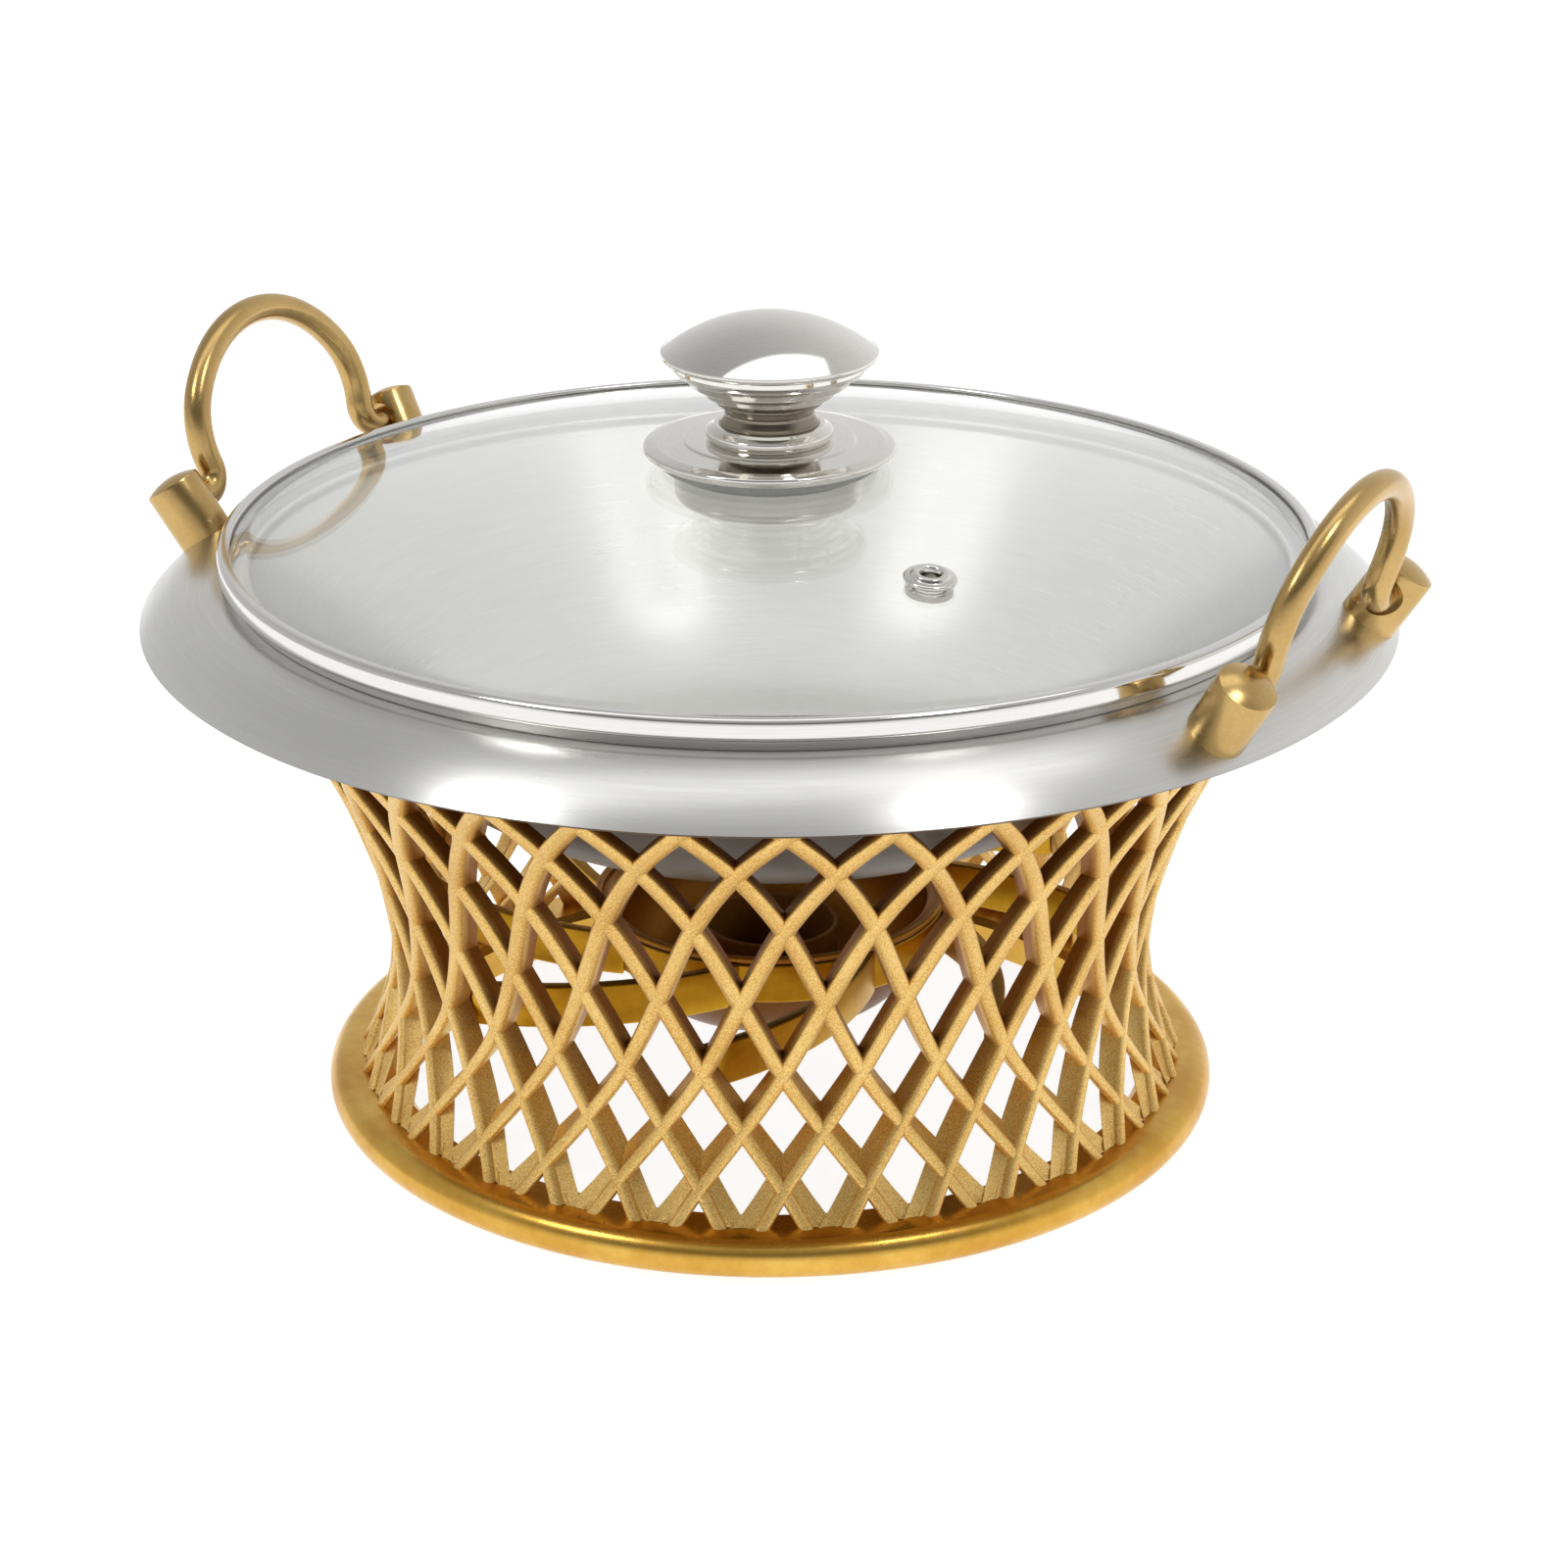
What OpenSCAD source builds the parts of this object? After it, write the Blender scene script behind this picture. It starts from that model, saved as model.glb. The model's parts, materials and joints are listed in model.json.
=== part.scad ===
// Round table-top chafing pan on a diagonal lattice burner stand.
// Millimetres, +Z up. Origin at the centre of the foot ring's underside.
// The two handles stand on the X axis.

/* [Lid] */
// Outer diameter of the lid's steel band
lid_d = 300; // [280:1:330]
// Height of the band's outer face
band_h = 6; // [5:0.5:9]
// Sheet thickness of the band
band_t = 0.8; // [0.5:0.1:1]
// Width of the lip that holds the glass, from the band's outer face
band_lip = 3.6; // [3:0.1:6]
// Height of the skirt below the band, which stands on the pan's ledge
skirt_h = 3; // [2:0.5:5]
// Glass thickness
glass_t = 4; // [3:0.5:4]
// Rise of the glass dome above its rim
dome_h = 20; // [10:1:40]
// Diameter of the steam vent's flange
vent_d = 14; // [11:0.5:18]
// Diameter of the steam vent's hole
vent_hole_d = 5; // [3:0.5:6]
// Distance of the steam vent from the lid's centre
vent_r = 90; // [60:1:120]
// Direction of the steam vent, from the right handle
vent_a = -33; // [-180:1:180]

/* [Knob] */
// Diameter of the knob's cap
cap_d = 59; // [50:1:70]
// Height of the cap's dome
cap_h = 12; // [8:0.5:18]
// Diameter of the stepped plate under the cap, at its top
underplate_d = 53; // [44:1:58]
// Height of the stepped plate under the cap
underplate_h = 11.5; // [8:0.5:16]
// Diameter of the stem at its waist
stem_d = 24; // [18:1:28]
// Height of the stem
stem_h = 6.5; // [4:0.5:15]
// Diameter of the collar
collar_d = 34.6; // [31:0.2:44]
// Height of the collar
collar_h = 4.5; // [3:0.5:8]
// Diameter of the round plate on the glass
plate_d = 69; // [60:1:80]
// Height of the round plate
plate_h = 5; // [4:0.5:7]
// Diameter of the cup under the glass
inner_cup_d = 51.6; // [42:0.2:58]
// Height of the cup under the glass
inner_cup_h = 8; // [6:0.5:14]
// Diameter of the knob's screw
knob_screw_d = 5; // [4:0.5:6]

/* [Pan] */
// Width of the ledge that carries the lid, inwards from the lid's edge
ledge_w = 8; // [6.5:0.5:12]
// Gap between the lid band and the crown of the brim, all round
lid_side_gap = 1.5; // [0.5:0.1:3]
// Depth from the ledge to the underside of the pan's bottom
pan_depth = 66; // [50:1:66]
// Diameter of the flat bottom
pan_base_d = 122; // [90:1:150]
// Radius of the curve from the bottom to the wall
pan_corner_r = 60; // [40:1:62]
// Height of the upright collar under the ledge
pan_collar_h = 7; // [4:0.5:9]
// How far the wall leans in under the collar
collar_step = 3; // [1:0.5:6]
// Outer diameter of the brim
brim_d = 343; // [335:1:365]
// How far the brim's edge lies below the ledge
brim_drop = 12; // [8:0.5:13]
// Bulge of the brim above a straight cone
brim_bulge = 1.8; // [1:0.1:2.5]
// Sheet thickness of the pan
pan_t = 1.2; // [0.8:0.1:2]

/* [Handles] */
// Diameter of the handle rod
rod_d = 7.8; // [6:0.2:9]
// Widest half width of the arch, at the rod's centre
arch_half_w = 37; // [34:0.5:37.5]
// Height of the arch above its hinge, at the rod's centre
arch_h = 44.5; // [42:0.5:60]
// Radius of the arch's two shoulders
shoulder_r = 24; // [20:0.5:24]
// Radius of the bend at each end of the rod
bend_r = 6; // [5.5:0.1:7]
// Outward lean of the handle as it stands
handle_lean = 16; // [0:1:25]
// Diameter of a handle post
post_d = 16; // [14:0.5:18]
// Length of a handle post, dome included
post_h = 19; // [18:0.5:24]
// Height of the dome on top of a post
post_dome = 2; // [1:0.5:3]
// Distance of a post's foot from the brim's edge
post_inset = 8; // [6:0.5:9]
// Angle of a post from the handle's middle
post_a = 17.5; // [17:0.1:19]
// Height of the hinge bore above the post's foot
bore_h = 10.5; // [10:0.1:11.5]
// Running clearance of the rod in its bore, per side
hinge_fit = 0.05; // [0.02:0.01:0.1]
// Diameter of the wider mouth of the bore
mouth_d = 10.8; // [10:0.1:12]
// Diameter of the screw under each post
post_screw_d = 4; // [3:0.5:5]

/* [Stand] */
// Outer diameter of the foot ring
foot_d = 252; // [244:1:270]
// Height of the flat land that carries the lattice
foot_h = 11; // [9:0.5:16]
// Radius of the rolled edge of the foot ring
roll_r = 5.5; // [5:0.1:7]
// Height of the stand to the top of its seat ring
stand_h = 141; // [141:1:165]
// Height of the seat ring
seat_ring_h = 6; // [5:0.5:9]
// Width of the seat ring, from the lattice's outer face to the pan
seat_w = 9; // [7.5:0.5:12]
// Outer diameter of the lattice at its foot
lattice_foot_d = 234; // [230:1:236]
// Outer diameter of the lattice at its waist
lattice_waist_d = 214.6; // [205:0.2:220]
// Outer diameter of the lattice at its top
lattice_top_d = 282; // [274:1:288]
// Height of the waist
waist_z = 46; // [40:1:70]
// Number of bars that lean each way
bars = 32; // [24:8:40]
// Width of a bar
bar_w = 5; // [4.5:0.5:7]
// Depth of a bar, through the lattice wall
bar_t = 7.5; // [6:0.5:10]

/* [Burner] */
// Inner diameter of the cradle ring
cradle_d = 92.4; // [84:0.2:100]
// Wall of the cradle ring
cradle_t = 3.4; // [3:0.1:6]
// Height of the cradle ring's top above the ground
cradle_z = 56; // [50:1:58]
// Height of the cradle ring
cradle_h = 11; // [8:0.5:14]
// Height of a cradle arm
arm_h = 12; // [8:0.5:14]
// Thickness of a cradle arm
arm_t = 3.5; // [2.5:0.1:5]
// Radius of a cradle arm's curve
arm_curve_r = 95; // [70:1:300]
// Number of cradle arms
arms = 8;
// Depth of the burner bowl below the cradle ring's top
bowl_depth = 31; // [24:0.5:31]
// Diameter of the burner bowl's flat bottom
bowl_base_d = 40; // [40:1:56]
// Sheet thickness of the burner bowl
bowl_t = 1; // [0.8:0.1:1.5]
// Outer diameter of the fuel cup
cup_d = 38; // [30:1:39]
// Height of the fuel cup
cup_h = 22; // [14:0.5:26]
// Sheet thickness of the fuel cup
cup_t = 0.8; // [0.6:0.1:1.2]

/* [Hidden] */
$fn = 96;

// Clearances
seat_gap = 0.3;
sheet_gap = 0.6;
screw_gap = 0.25;
cup_gap = 0.1;
wall_gap = 0.1;
eps = 0.01;
big = 400;

// Lip of the seat ring beyond the lattice, and the chamfer of its top edge
seat_lip = 0.5;
seat_chamfer = 1.5;

// Steps of an arc, in degrees
arc_step = 6;

// Finish colours
gold = "goldenrod";
dark_gold = "darkgoldenrod";
brass = "peru";
steel = "gainsboro";
polished = "silver";
rubber = "dimgray";

// ---- Sheet metal outlines ----

// Points on an arc about c, from angle a0 to a1
function arc(c, r, a0, a1) =
    let (n = max(2, ceil(abs(a1 - a0) / arc_step)))
    [for (i = [0:n]) c + r * [cos(a0 + (a1 - a0) * i / n), sin(a0 + (a1 - a0) * i / n)]];

// Unit normal on the left of the line from a to b
function side(a, b) = [a.y - b.y, b.x - a.x] / norm(b - a);

// Mitred normal at point i of path p
function mitre(p, i) =
    i == 0 ? side(p[0], p[1]) :
    i == len(p) - 1 ? side(p[i - 1], p[i]) :
    let (n = side(p[i - 1], p[i]) + side(p[i], p[i + 1])) 2 * n / (n * n);

// Path p moved to its left by t
function shifted(p, t) = [for (i = [0:len(p) - 1]) p[i] + t * mitre(p, i)];

// Closed outline of a sheet of thickness t on the left of path p
function sheet(p, t) =
    let (q = shifted(p, t)) concat(p, [for (i = [len(q) - 1:-1:0]) q[i]]);

module turned(points) {
    rotate_extrude() polygon(points);
}

module tube(r_in, r_out, z0, z1) {
    translate([0, 0, z0]) difference() {
        cylinder(r = r_out, h = z1 - z0);
        translate([0, 0, -1]) cylinder(r = r_in, h = z1 - z0 + 2);
    }
}

// ---- Pan geometry ----

lid_r = lid_d / 2;
crown_r = lid_r + lid_side_gap;
mouth_r = lid_r - ledge_w;
cone_top = [mouth_r - collar_step, -pan_collar_h];
corner_c = [pan_base_d / 2, pan_corner_r - pan_depth];
to_cone = cone_top - corner_c;
cone_a = atan2(to_cone.y, to_cone.x) + asin(pan_corner_r / norm(to_cone));

// Brim: an arc from the crown down to the edge
brim_run = [brim_d / 2 - crown_r, -brim_drop];
brim_chord = norm(brim_run);
brim_arc_r = (pow(brim_chord / 2, 2) + pow(brim_bulge, 2)) / (2 * brim_bulge);
brim_half_a = asin(brim_chord / 2 / brim_arc_r);
brim_slope = atan2(brim_drop, brim_run.x);
brim_a0 = brim_slope - brim_half_a;
brim_c0 = [crown_r, 0] - brim_arc_r * [sin(brim_a0), cos(brim_a0)];

// Height of the pan's underside at radius r, above its ledge
function pan_under(r) =
    r < corner_c.x + pan_corner_r * sin(cone_a) ? corner_c.y - sqrt(pow(pan_corner_r, 2) - pow(r - corner_c.x, 2)) :
    r < cone_top.x ? cone_top.y - (cone_top.x - r) * tan(cone_a) :
    r < mouth_r ? lookup(r, [cone_top, [mouth_r, -collar_step]]) :
    r < crown_r ? -pan_t :
    brim_c0.y + sqrt(pow(brim_arc_r - pan_t, 2) - pow(r - brim_c0.x, 2));

// The pan sinks into the seat ring until it meets the ring's top
seat_out_r = lattice_top_d / 2 + seat_lip;
seat_r = lattice_top_d / 2 - seat_w;
ledge_z = stand_h + seat_gap - min(pan_under(seat_r), pan_under(seat_out_r - seat_chamfer));
pan_bottom_z = ledge_z - pan_depth;
brim_c = brim_c0 + [0, ledge_z];

// Outline of the pan's top and inner face, from the axis to the brim's edge
ledge_corner = 1;
pan_face = concat(
    [[0, pan_bottom_z + pan_t]],
    arc(corner_c + [0, ledge_z], pan_corner_r - pan_t, -90, cone_a - 90),
    [cone_top + [0, ledge_z] + pan_t * [-sin(cone_a), cos(cone_a)]],
    [[mouth_r - pan_t, ledge_z - collar_step]],
    [[mouth_r - pan_t, ledge_z - ledge_corner]],
    [[mouth_r - pan_t + ledge_corner, ledge_z]],
    arc(brim_c, brim_arc_r, 90 - brim_a0, 90 - brim_a0 - 2 * brim_half_a)
);

// Angle of the brim where a post stands, and the place of its foot
post_r = brim_d / 2 - post_inset;
post_tilt = asin((post_r - brim_c.x) / brim_arc_r);
post_z = brim_c.y + brim_arc_r * cos(post_tilt);

// Tapped hole in a post, and the flat washer that bears on the curved underside of the brim
post_tap_h = 5.5;
washer_r = post_screw_d * 1.25;
washer_t = 1;
under_r = brim_arc_r - pan_t;
washer_z = -pan_t - (under_r - sqrt(pow(under_r, 2) - pow(washer_r, 2))) - cup_gap;

// Hinge line of a handle
bore_r = post_r + bore_h * sin(post_tilt);
bore_x = bore_r * cos(post_a);
bore_y = bore_r * sin(post_a);
bore_z = post_z + bore_h * cos(post_tilt);

// ---- Handle arch, in its own plane, with the hinge line at v = 0 ----

post_side = post_d / 2 / sqrt(1 - pow(sin(post_tilt) * sin(post_a), 2));
post_face_y = bore_y - post_side;
rod_gap = 0.8;
joint_bead = 0.05;
bend_y = post_face_y - rod_gap;
shoulder_y = arch_half_w - shoulder_r;
shoulder_v = bend_r + sqrt(pow(shoulder_r + bend_r, 2) - pow(bend_y - shoulder_y, 2));
shoulder_a = atan2(shoulder_v - bend_r, bend_y - shoulder_y);
top_gap = arch_h - shoulder_v;
top_r = (pow(shoulder_y, 2) + pow(top_gap, 2) - pow(shoulder_r, 2)) / (2 * (top_gap - shoulder_r));
top_half_a = asin(shoulder_y / (top_r - shoulder_r));
journal_end = bore_y + post_d / 4;

// ---- Knob and glass heights ----

rim_z = ledge_z + skirt_h;
glass_rim_z = rim_z + (band_h - glass_t) / 2;
glass_edge_r = lid_r - band_t - eps;
dome_edge_r = lid_r - band_lip - 1;
dome_r = (pow(dome_edge_r, 2) + pow(dome_h, 2)) / (2 * dome_h);
glass_top_z = glass_rim_z + glass_t + dome_h;
gasket_h = 1;
plate_z = glass_top_z + gasket_h;
collar_z = plate_z + plate_h;
stem_z = collar_z + collar_h;
underplate_z = stem_z + stem_h;
cap_z = underplate_z + underplate_h;
inner_z = glass_top_z - glass_t;
inner_gasket_h = 0.8;
inner_rim_z = inner_z - dome_drop(inner_cup_d / 2) - inner_gasket_h;
inner_bottom_z = inner_rim_z - inner_cup_h;
hole_r = knob_screw_d / 2 + screw_gap;
screw_head_h = 3;
screw_in_cap = 5;

// How far the glass lies below its top at radius r
function dome_drop(r) = dome_r - sqrt(pow(dome_r, 2) - pow(r, 2));

// Outline of the glass, from the screw hole to the rim; d lowers it to its underside
glass_hole_r = 5;
dome_steps = 24;
function glass_line(d) = concat(
    [for (i = [0:dome_steps])
        let (r = glass_hole_r + (dome_edge_r - glass_hole_r) * i / dome_steps)
        [r, glass_top_z - d - dome_drop(r)]],
    [[glass_edge_r, glass_rim_z + glass_t - d]]
);
glass_outline = let (low = glass_line(glass_t))
    concat(glass_line(0), [for (i = [len(low) - 1:-1:0]) low[i]]);

// ---- Lattice geometry ----

// Crossing rows: row number and its share of the lattice's height. Cells are tallest above the waist.
rows = [[-0.5, 0], [0, 0.07], [1, 0.189], [2, 0.316], [3, 0.49], [4, 0.687], [5, 0.84], [6, 0.953],
    [6.45, 1]];
top_flare = 1.7;
foot_flare = 1.8;
stand_turn = -1.8;
lattice_z0 = foot_h;
lattice_z1 = stand_h - seat_ring_h;
row_pitch = 180 / bars;
waist_row = 2;
last_row = len(rows) - 1;

// Height of row k, also for the rows that lie just past the lattice's ends
function row_z(k) =
    let (h = lattice_z1 - lattice_z0, first = rows[1] - rows[0], last = rows[last_row] - rows[last_row - 1])
    k < rows[0][0] ? lattice_z0 + h * (k - rows[0][0]) * first[1] / first[0] :
    k > rows[last_row][0] ? lattice_z1 + h * (k - rows[last_row][0]) * last[1] / last[0] :
    lattice_z0 + h * lookup(k, rows);

function wall_r(z) = lattice_waist_d / 2 + (z > waist_z
    ? (lattice_top_d - lattice_waist_d) / 2 * pow((z - waist_z) / (lattice_z1 - waist_z), top_flare)
    : (lattice_foot_d - lattice_waist_d) / 2 * pow((waist_z - z) / (waist_z - lattice_z0), foot_flare));

// The wall's outer face, moved inwards by d. It bends half way between crossing rows, clear of the holes' corners
function wall_line(d) = [for (k = [-0.5:6.5]) let (z = min(row_z(k), lattice_z1)) [wall_r(z) - d, z]];

// Outline of the hole centred on row k: the diamond between four bars, less half a bar's width
function cell_outline(k) =
    let (z = row_z(k), z_up = row_z(k + 1), z_low = row_z(k - 1), half = wall_r(z) * sin(row_pitch),
        up_a = atan2(half, z_up - z), low_a = atan2(half, z - z_low),
        top = z_up - bar_w / 2 / sin(up_a), low = z_low + bar_w / 2 / sin(low_a),
        mid = (top * tan(up_a) + low * tan(low_a)) / (tan(up_a) + tan(low_a)), reach = (top - mid) * tan(up_a))
    [[0, low], [reach, mid], [0, top], [-reach, mid]];

// ---- Burner geometry ----

ring_in_r = cradle_d / 2;
ring_out_r = ring_in_r + cradle_t;
bowl_r = ring_in_r - sheet_gap;
bowl_z = cradle_z - bowl_depth;
bowl_corner_r = bowl_r - bowl_base_d / 2;
bowl_rim_w = 3;
bead_r = 1.1;
weld_depth = 0.8;
arm_sweep = 42;
arm_row = 2;
arm_start = stand_turn + 4 * row_pitch;
arm_tip_r = wall_r(row_z(arm_row)) - bar_t + weld_depth;

// ---- Modules, one for each piece ----

module foot_ring() {
    land_w = 2.5;
    soft = 2;
    land_in = lattice_foot_d / 2 - bar_t - land_w;
    land_out = lattice_foot_d / 2 + wall_gap;
    roll_c = foot_d / 2 - roll_r;
    color(gold) rotate_extrude() difference() {
        union() {
            translate([roll_c, roll_r]) circle(r = roll_r);
            polygon([[land_in, 0], [roll_c, 0], [roll_c, foot_h], [land_in + soft, foot_h], [land_in, foot_h - soft]]);
        }
        translate([land_in, foot_h]) square([land_out - land_in, roll_r * 2]);
    }
}

module lattice() {
    inner = wall_line(bar_t);
    hole_in = lattice_waist_d / 2 - bar_t * 2;
    hole_out = lattice_top_d / 2 + bar_t;
    color(gold) difference() {
        turned(concat(wall_line(0), [for (i = [len(inner) - 1:-1:0]) inner[i]]));
        for (k = [-1:6]) for (i = [0:bars - 1])
            rotate(stand_turn + row_pitch * (k - waist_row + 1 + 2 * i)) translate([hole_in, 0, 0])
            rotate([90, 0, 90]) linear_extrude(hole_out - hole_in) polygon(cell_outline(k));
    }
}

module seat_ring() {
    seat_cone = seat_gap / sin(cone_a);
    drop = seat_ring_h / tan(cone_a);
    color(gold) turned([
        [seat_r - drop + seat_cone, lattice_z1],
        [seat_out_r, lattice_z1],
        [seat_out_r, stand_h - seat_chamfer],
        [seat_out_r - seat_chamfer, stand_h],
        [seat_r + seat_cone, stand_h]
    ]);
}

module cradle_ring() {
    color(dark_gold) tube(ring_in_r, ring_out_r, cradle_z - cradle_h, cradle_z);
}

module cradle_arm(i) {
    tip = arm_tip_r * [1, 0];
    root = ring_out_r * [cos(arm_sweep), sin(arm_sweep)];
    chord = root - tip;
    away = -side(tip, root);
    centre = (tip + root) / 2 - away * sqrt(pow(arm_curve_r, 2) - chord * chord / 4);
    from_tip = tip - centre;
    start_a = atan2(from_tip.y, from_tip.x);
    arc_a = 2 * asin(norm(chord) / 2 / arm_curve_r);
    spare_a = 4;
    color(dark_gold) rotate(arm_start + (i - 1) * 360 / arms)
    translate([0, 0, cradle_z - arm_h]) difference() {
        intersection() {
            translate(centre) rotate(start_a - spare_a)
            rotate_extrude(angle = arc_a + 2 * spare_a)
            translate([arm_curve_r - arm_t / 2, 0]) square([arm_t, arm_h]);
            cylinder(r = arm_tip_r, h = arm_h);
        }
        translate([0, 0, -1]) cylinder(r = ring_out_r, h = arm_h + 2);
    }
}

module burner_bowl() {
    path = concat(
        [[0, bowl_z]],
        arc([bowl_base_d / 2, bowl_z + bowl_corner_r], bowl_corner_r, -90, 0),
        [[bowl_r, cradle_z], [bowl_r + bowl_rim_w, cradle_z]]
    );
    color(dark_gold) rotate_extrude() union() {
        polygon(sheet(path, bowl_t));
        translate([bowl_r + bowl_rim_w, cradle_z + bead_r]) circle(r = bead_r);
    }
}

module fuel_cup() {
    z0 = bowl_z + bowl_t;
    r = cup_d / 2;
    corner = 2;
    lip = 0.6;
    path = concat(
        [[0, z0]],
        arc([r - corner, z0 + corner], corner, -90, 0),
        [[r, z0 + cup_h]]
    );
    color(dark_gold) rotate_extrude() union() {
        polygon(sheet(path, cup_t));
        translate([r - cup_t / 2, z0 + cup_h]) circle(r = lip);
    }
}

// Turns what is drawn at the foot of a post, with +Z along the post, to its place on the brim
module at_post(side_x, side_y) {
    turn = side_x > 0 ? side_y * post_a : 180 - side_y * post_a;
    rotate(turn) translate([post_r, 0, post_z]) rotate([0, post_tilt, 0]) children();
}

module each_post() {
    for (x = [-1, 1]) for (y = [-1, 1]) at_post(x, y) children();
}

module pan_body() {
    color(steel) difference() {
        turned(sheet(pan_face, -pan_t));
        each_post() translate([0, 0, -5]) cylinder(d = post_screw_d + 2 * screw_gap, h = 10);
    }
}

// The space below the brim's upper face, lowered by d
module below_brim(d) {
    face = shifted(pan_face, -d);
    edge = face[len(face) - 1];
    out = 6;
    low = 30;
    turned(concat([for (p = face) if (p.x > mouth_r) p],
        [edge + [out, -out], [edge.x + out, edge.y - low], [mouth_r, edge.y - low]]));
}

module handle_post(side_x, side_y) {
    tap_r = post_screw_d / 2 + screw_gap / 2;
    sink = 2;
    straight_h = post_h - post_dome;
    dome_ball_r = (pow(post_d / 2, 2) + pow(post_dome, 2)) / (2 * post_dome);
    bore_len = journal_end - bore_y + post_side + 0.5;
    mouth_deep = 2.5;
    color(brass) difference() {
        at_post(side_x, side_y) {
            difference() {
                translate([0, 0, -sink]) rotate_extrude() intersection() {
                    square([post_d / 2, post_h + sink]);
                    union() {
                        square([post_d / 2, straight_h + sink]);
                        translate([0, post_h + sink - dome_ball_r]) circle(r = dome_ball_r);
                    }
                }
                translate([0, 0, -sink - 1]) cylinder(r = tap_r, h = post_tap_h + sink + 1);
            }
        }
        below_brim(0);
        translate([side_x * bore_x, side_y * (bore_y - post_side), bore_z]) rotate([side_y * -90, 0, 0]) {
            translate([0, 0, -3]) cylinder(r = rod_d / 2 + hinge_fit, h = bore_len + 3);
            translate([0, 0, -3]) cylinder(d = mouth_d, h = 3 + mouth_deep);
        }
    }
}

module post_washers() {
    color(polished) each_post() tube(post_screw_d / 2 + screw_gap / 2, washer_r, washer_z - washer_t, washer_z);
}

module post_screws() {
    head_z = washer_z - washer_t;
    head_h = post_screw_d * 0.6;
    socket_r = post_screw_d * 0.35;
    color(polished) each_post() difference() {
        union() {
            translate([0, 0, head_z - head_h]) cylinder(r = post_screw_d, h = head_h);
            translate([0, 0, head_z]) cylinder(r = post_screw_d / 2, h = post_tap_h - 0.5 - head_z);
        }
        translate([0, 0, head_z - head_h - 1]) cylinder(r = socket_r, h = 1 + head_h * 0.6, $fn = 6);
    }
}

// Bent rod in the Y-Z plane, hinge line on the Y axis
module arch_rod() {
    module arc_rod(y, v, r, a0, a1) {
        translate([0, y, v]) rotate([90, 0, 90]) rotate(a0)
        rotate_extrude(angle = a1 - a0) translate([r, 0]) circle(d = rod_d);
    }
    // A ball just larger than the rod, where two arcs meet at angle a
    module arc_joint(y, v, r, a) {
        translate([0, y + r * cos(a), v + r * sin(a)]) sphere(r = rod_d / 2 + joint_bead);
    }
    arc_rod(0, arch_h - top_r, top_r, 90 - top_half_a, 90 + top_half_a);
    for (m = [0, 1]) mirror([0, m, 0]) {
        arc_joint(shoulder_y, shoulder_v, shoulder_r, 90 - top_half_a);
        arc_rod(shoulder_y, shoulder_v, shoulder_r, -shoulder_a, 90 - top_half_a);
        arc_joint(shoulder_y, shoulder_v, shoulder_r, -shoulder_a);
        arc_rod(bend_y, bend_r, bend_r, 180 - shoulder_a, 270);
        translate([0, bend_y, 0]) rotate([-90, 0, 0]) cylinder(d = rod_d, h = journal_end - bend_y);
    }
}

module handle(side_x) {
    color(brass) translate([side_x * bore_x, 0, bore_z]) rotate([0, side_x * handle_lean, 0]) arch_rod();
}

module lid_band() {
    lip_z0 = glass_rim_z - eps;
    lip_z1 = glass_rim_z + glass_t + eps;
    skirt_out = lid_r - band_lip + 0.6;
    skirt_in = skirt_out - 1.2;
    soft = 0.7;
    top = rim_z + band_h;
    color(polished) rotate_extrude() difference() {
        polygon([
            [skirt_in, ledge_z], [skirt_out, ledge_z], [skirt_out, rim_z], [lid_r - soft, rim_z],
            [lid_r, rim_z + soft], [lid_r, top - soft], [lid_r - soft, top],
            [lid_r - band_lip, top], [lid_r - band_lip, lip_z1], [lid_r - band_t, lip_z1],
            [lid_r - band_t, lip_z0], [skirt_in, lip_z0]
        ]);
        polygon(glass_outline);
    }
}

module lid_glass() {
    color("lightcyan", 0.35) difference() {
        turned(glass_outline);
        at_vent() translate([0, 0, -glass_t * 2]) cylinder(d = vent_d * 0.62, h = glass_t * 3);
    }
}

// Turns what is drawn with +Z up to the vent's place, square to the glass
module at_vent() {
    lean = asin(vent_r / dome_r);
    rotate(vent_a) translate([vent_r, 0, glass_top_z - dome_drop(vent_r)]) rotate([0, lean, 0]) children();
}

module vent_eyelet() {
    flange_t = 1.6;
    lift = 0.15;
    barrel_r = vent_d * 0.31 - cup_gap;
    color(polished) at_vent() rotate_extrude() difference() {
        union() {
            translate([0, lift]) square([vent_d / 2 - flange_t / 2, flange_t]);
            translate([vent_d / 2 - flange_t / 2, lift + flange_t / 2]) circle(d = flange_t);
            translate([0, -glass_t - flange_t]) square([barrel_r, glass_t + 2 * flange_t + lift]);
            translate([barrel_r - flange_t / 2, lift + flange_t]) circle(d = flange_t);
        }
        translate([0, -big / 2]) square([vent_hole_d / 2, big]);
        translate([-big, -big / 2]) square([big, big]);
    }
}

module vent_ring() {
    ring_t = 1.4;
    color(polished) at_vent() tube(vent_d * 0.31, vent_d * 0.45, -glass_t - 0.2 - ring_t, -glass_t - 0.2);
}

module plate_gasket() {
    color(rubber) rotate_extrude() difference() {
        translate([glass_hole_r + 2, plate_z - 4]) square([plate_d / 2 - glass_hole_r - 7, 4]);
        polygon(concat(glass_line(0), [[glass_edge_r, 0], [0, 0], [0, glass_line(0)[0].y]]));
    }
}

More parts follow.
